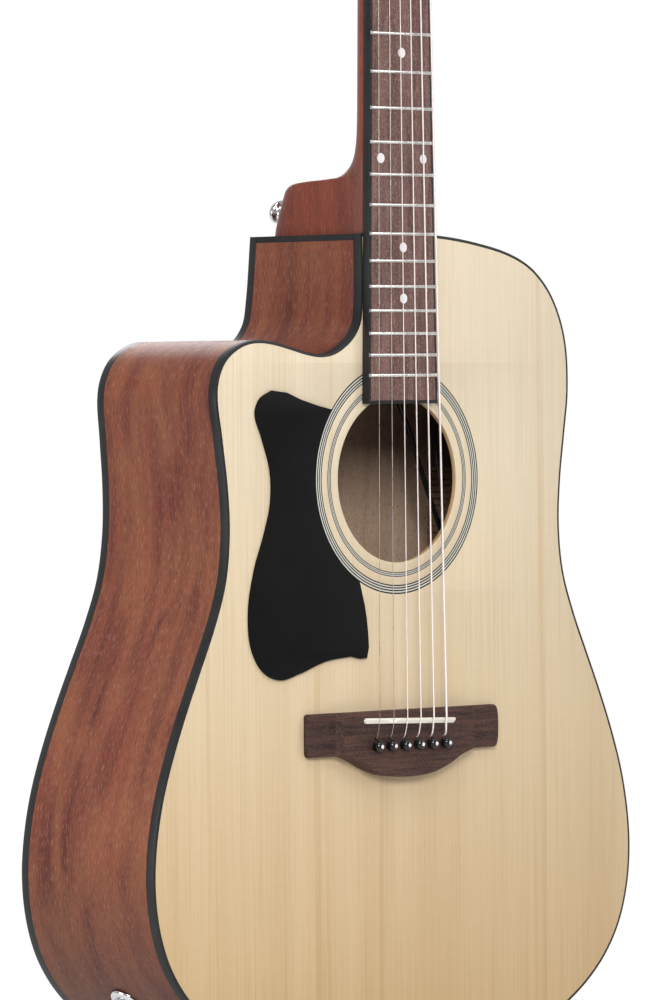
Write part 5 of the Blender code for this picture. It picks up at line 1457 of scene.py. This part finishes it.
# ---------------------------------------------------------------- CAD nodes that stay
for node_name, material in (
    ("binding_cutaway_end", BINDING), ("neck_block", SPRUCE_INNER), ("tail_block", SPRUCE_INNER),
    ("x_brace", SPRUCE_INNER), ("upper_brace", SPRUCE_INNER), ("back_bracing", SPRUCE_INNER),
    ("bridge_plate", BRIDGE_WOOD), ("truss_rod", STEEL),
):
    kept = frame["nodes"][node_name]
    kept.data.materials.clear()
    kept.data.materials.append(material)
    if node_name not in ("truss_rod", "binding_cutaway_end"):
        edge = kept.modifiers.new("worked_edges", "BEVEL")
        edge.width = 0.8 * MM
        edge.segments = 2
        edge.limit_method = "ANGLE"

# ---------------------------------------------------------------- floor, camera and light
FLOOR_RADIUS = 0.72
bm = bmesh.new()
bmesh.ops.create_circle(bm, cap_ends=True, segments=96, radius=FLOOR_RADIUS)
floor = made("floor", bm)
floor_material, tree, shader = new_material("floor_paper", 0.85)
paper = noise(tree, coordinates(tree), 60, 4.0)
paper_tone = ramp(tree, paper, (0.3, (0.80, 0.80, 0.79)), (0.7, (0.84, 0.84, 0.83)))
links(tree, (paper_tone, shader.inputs["Base Color"]))
floor.data.materials.append(floor_material)
bpy.context.scene.collection.objects.link(floor)
floor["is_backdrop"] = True

FOCAL_PX = 6543.3
YAW, PITCH, ROLL = math.radians(-44.601), math.radians(0.985), math.radians(-0.464)
AIM = Vector((-52.64 * MM, TOP_FACE, 519.5 * MM - 154.885 * MM))
DISTANCE = 3.7995
back_way = Vector((math.sin(YAW) * math.cos(PITCH), -math.cos(YAW) * math.cos(PITCH), math.sin(PITCH)))
camera = bpy.data.objects.new("camera", bpy.data.cameras.new("camera"))
camera.data.sensor_width = 36
camera.data.lens = FOCAL_PX * 36 / 1000
camera.data.clip_end = 100
bpy.context.scene.collection.objects.link(camera)
right_way = (-back_way).cross(Vector((0, 0, 1))).normalized()
up_way = right_way.cross(-back_way)
rolled_right = right_way * math.cos(ROLL) + up_way * math.sin(ROLL)
rolled_up = -right_way * math.sin(ROLL) + up_way * math.cos(ROLL)
basis = Matrix((rolled_right, rolled_up, back_way)).transposed().to_4x4()
camera.matrix_world = Matrix.Translation(AIM + back_way * DISTANCE) @ basis
bpy.context.scene.camera = camera

world = bpy.data.worlds.new("studio")
bpy.context.scene.world = world
world.use_nodes = True
tree = world.node_tree
place = tree.nodes.new("ShaderNodeTexCoord")
dot_node = tree.nodes.new("ShaderNodeVectorMath")
dot_node.operation = "DOT_PRODUCT"
dot_node.inputs[1].default_value = -back_way
links(tree, (place.outputs["Generated"], dot_node.inputs[0]))
SIDE_LIGHT, BACKDROP_LIGHT = 0.40, 1.02
strength = span(tree, dot_node.outputs["Value"], -0.1, 0.75, SIDE_LIGHT, BACKDROP_LIGHT)
links(tree, (strength, tree.nodes["Background"].inputs["Strength"]))
tree.nodes["Background"].inputs["Color"].default_value = (1, 1, 1, 1)


def soft_light(name, place, target, size, power):
    """A rectangular lamp that the camera doesn't see."""
    lamp = bpy.data.lights.new(name, "AREA")
    lamp.shape = "RECTANGLE"
    lamp.size, lamp.size_y = size
    lamp.energy = power
    obj = bpy.data.objects.new(name, lamp)
    bpy.context.scene.collection.objects.link(obj)
    obj.location = place
    obj.rotation_mode = "QUATERNION"
    obj.rotation_quaternion = (Vector(target) - Vector(place)).to_track_quat("-Z", "Y")
    obj.visible_camera = False


for light in (  # name, place, target, size and power
    ("key", (-1.23, -1.57, 1.08), (0.02, 0, 0.40), (0.6, 0.6), 31),
    ("right", (1.5, -1.9, 1.35), (0, 0, 0.45), (0.6, 1.0), 11),
    ("top", (-0.35, -1.0, 2.2), (0, 0, 0.32), (1.4, 0.8), 13),
    ("low", (-0.95, 0.12, 0.30), (-0.19, 0.04, 0.22), (0.4, 0.4), 2.0),
    ("back", (1.2, 2.2, 1.8), (0, 0, 0.5), (1.2, 1.2), 18),
):
    soft_light(*light)

view_settings = bpy.context.scene.view_settings
view_settings.view_transform = "Standard"
view_settings.look = "None"

ends = [[list(corner) for corner in CAD_BOX], [list(corner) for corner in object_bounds()]]
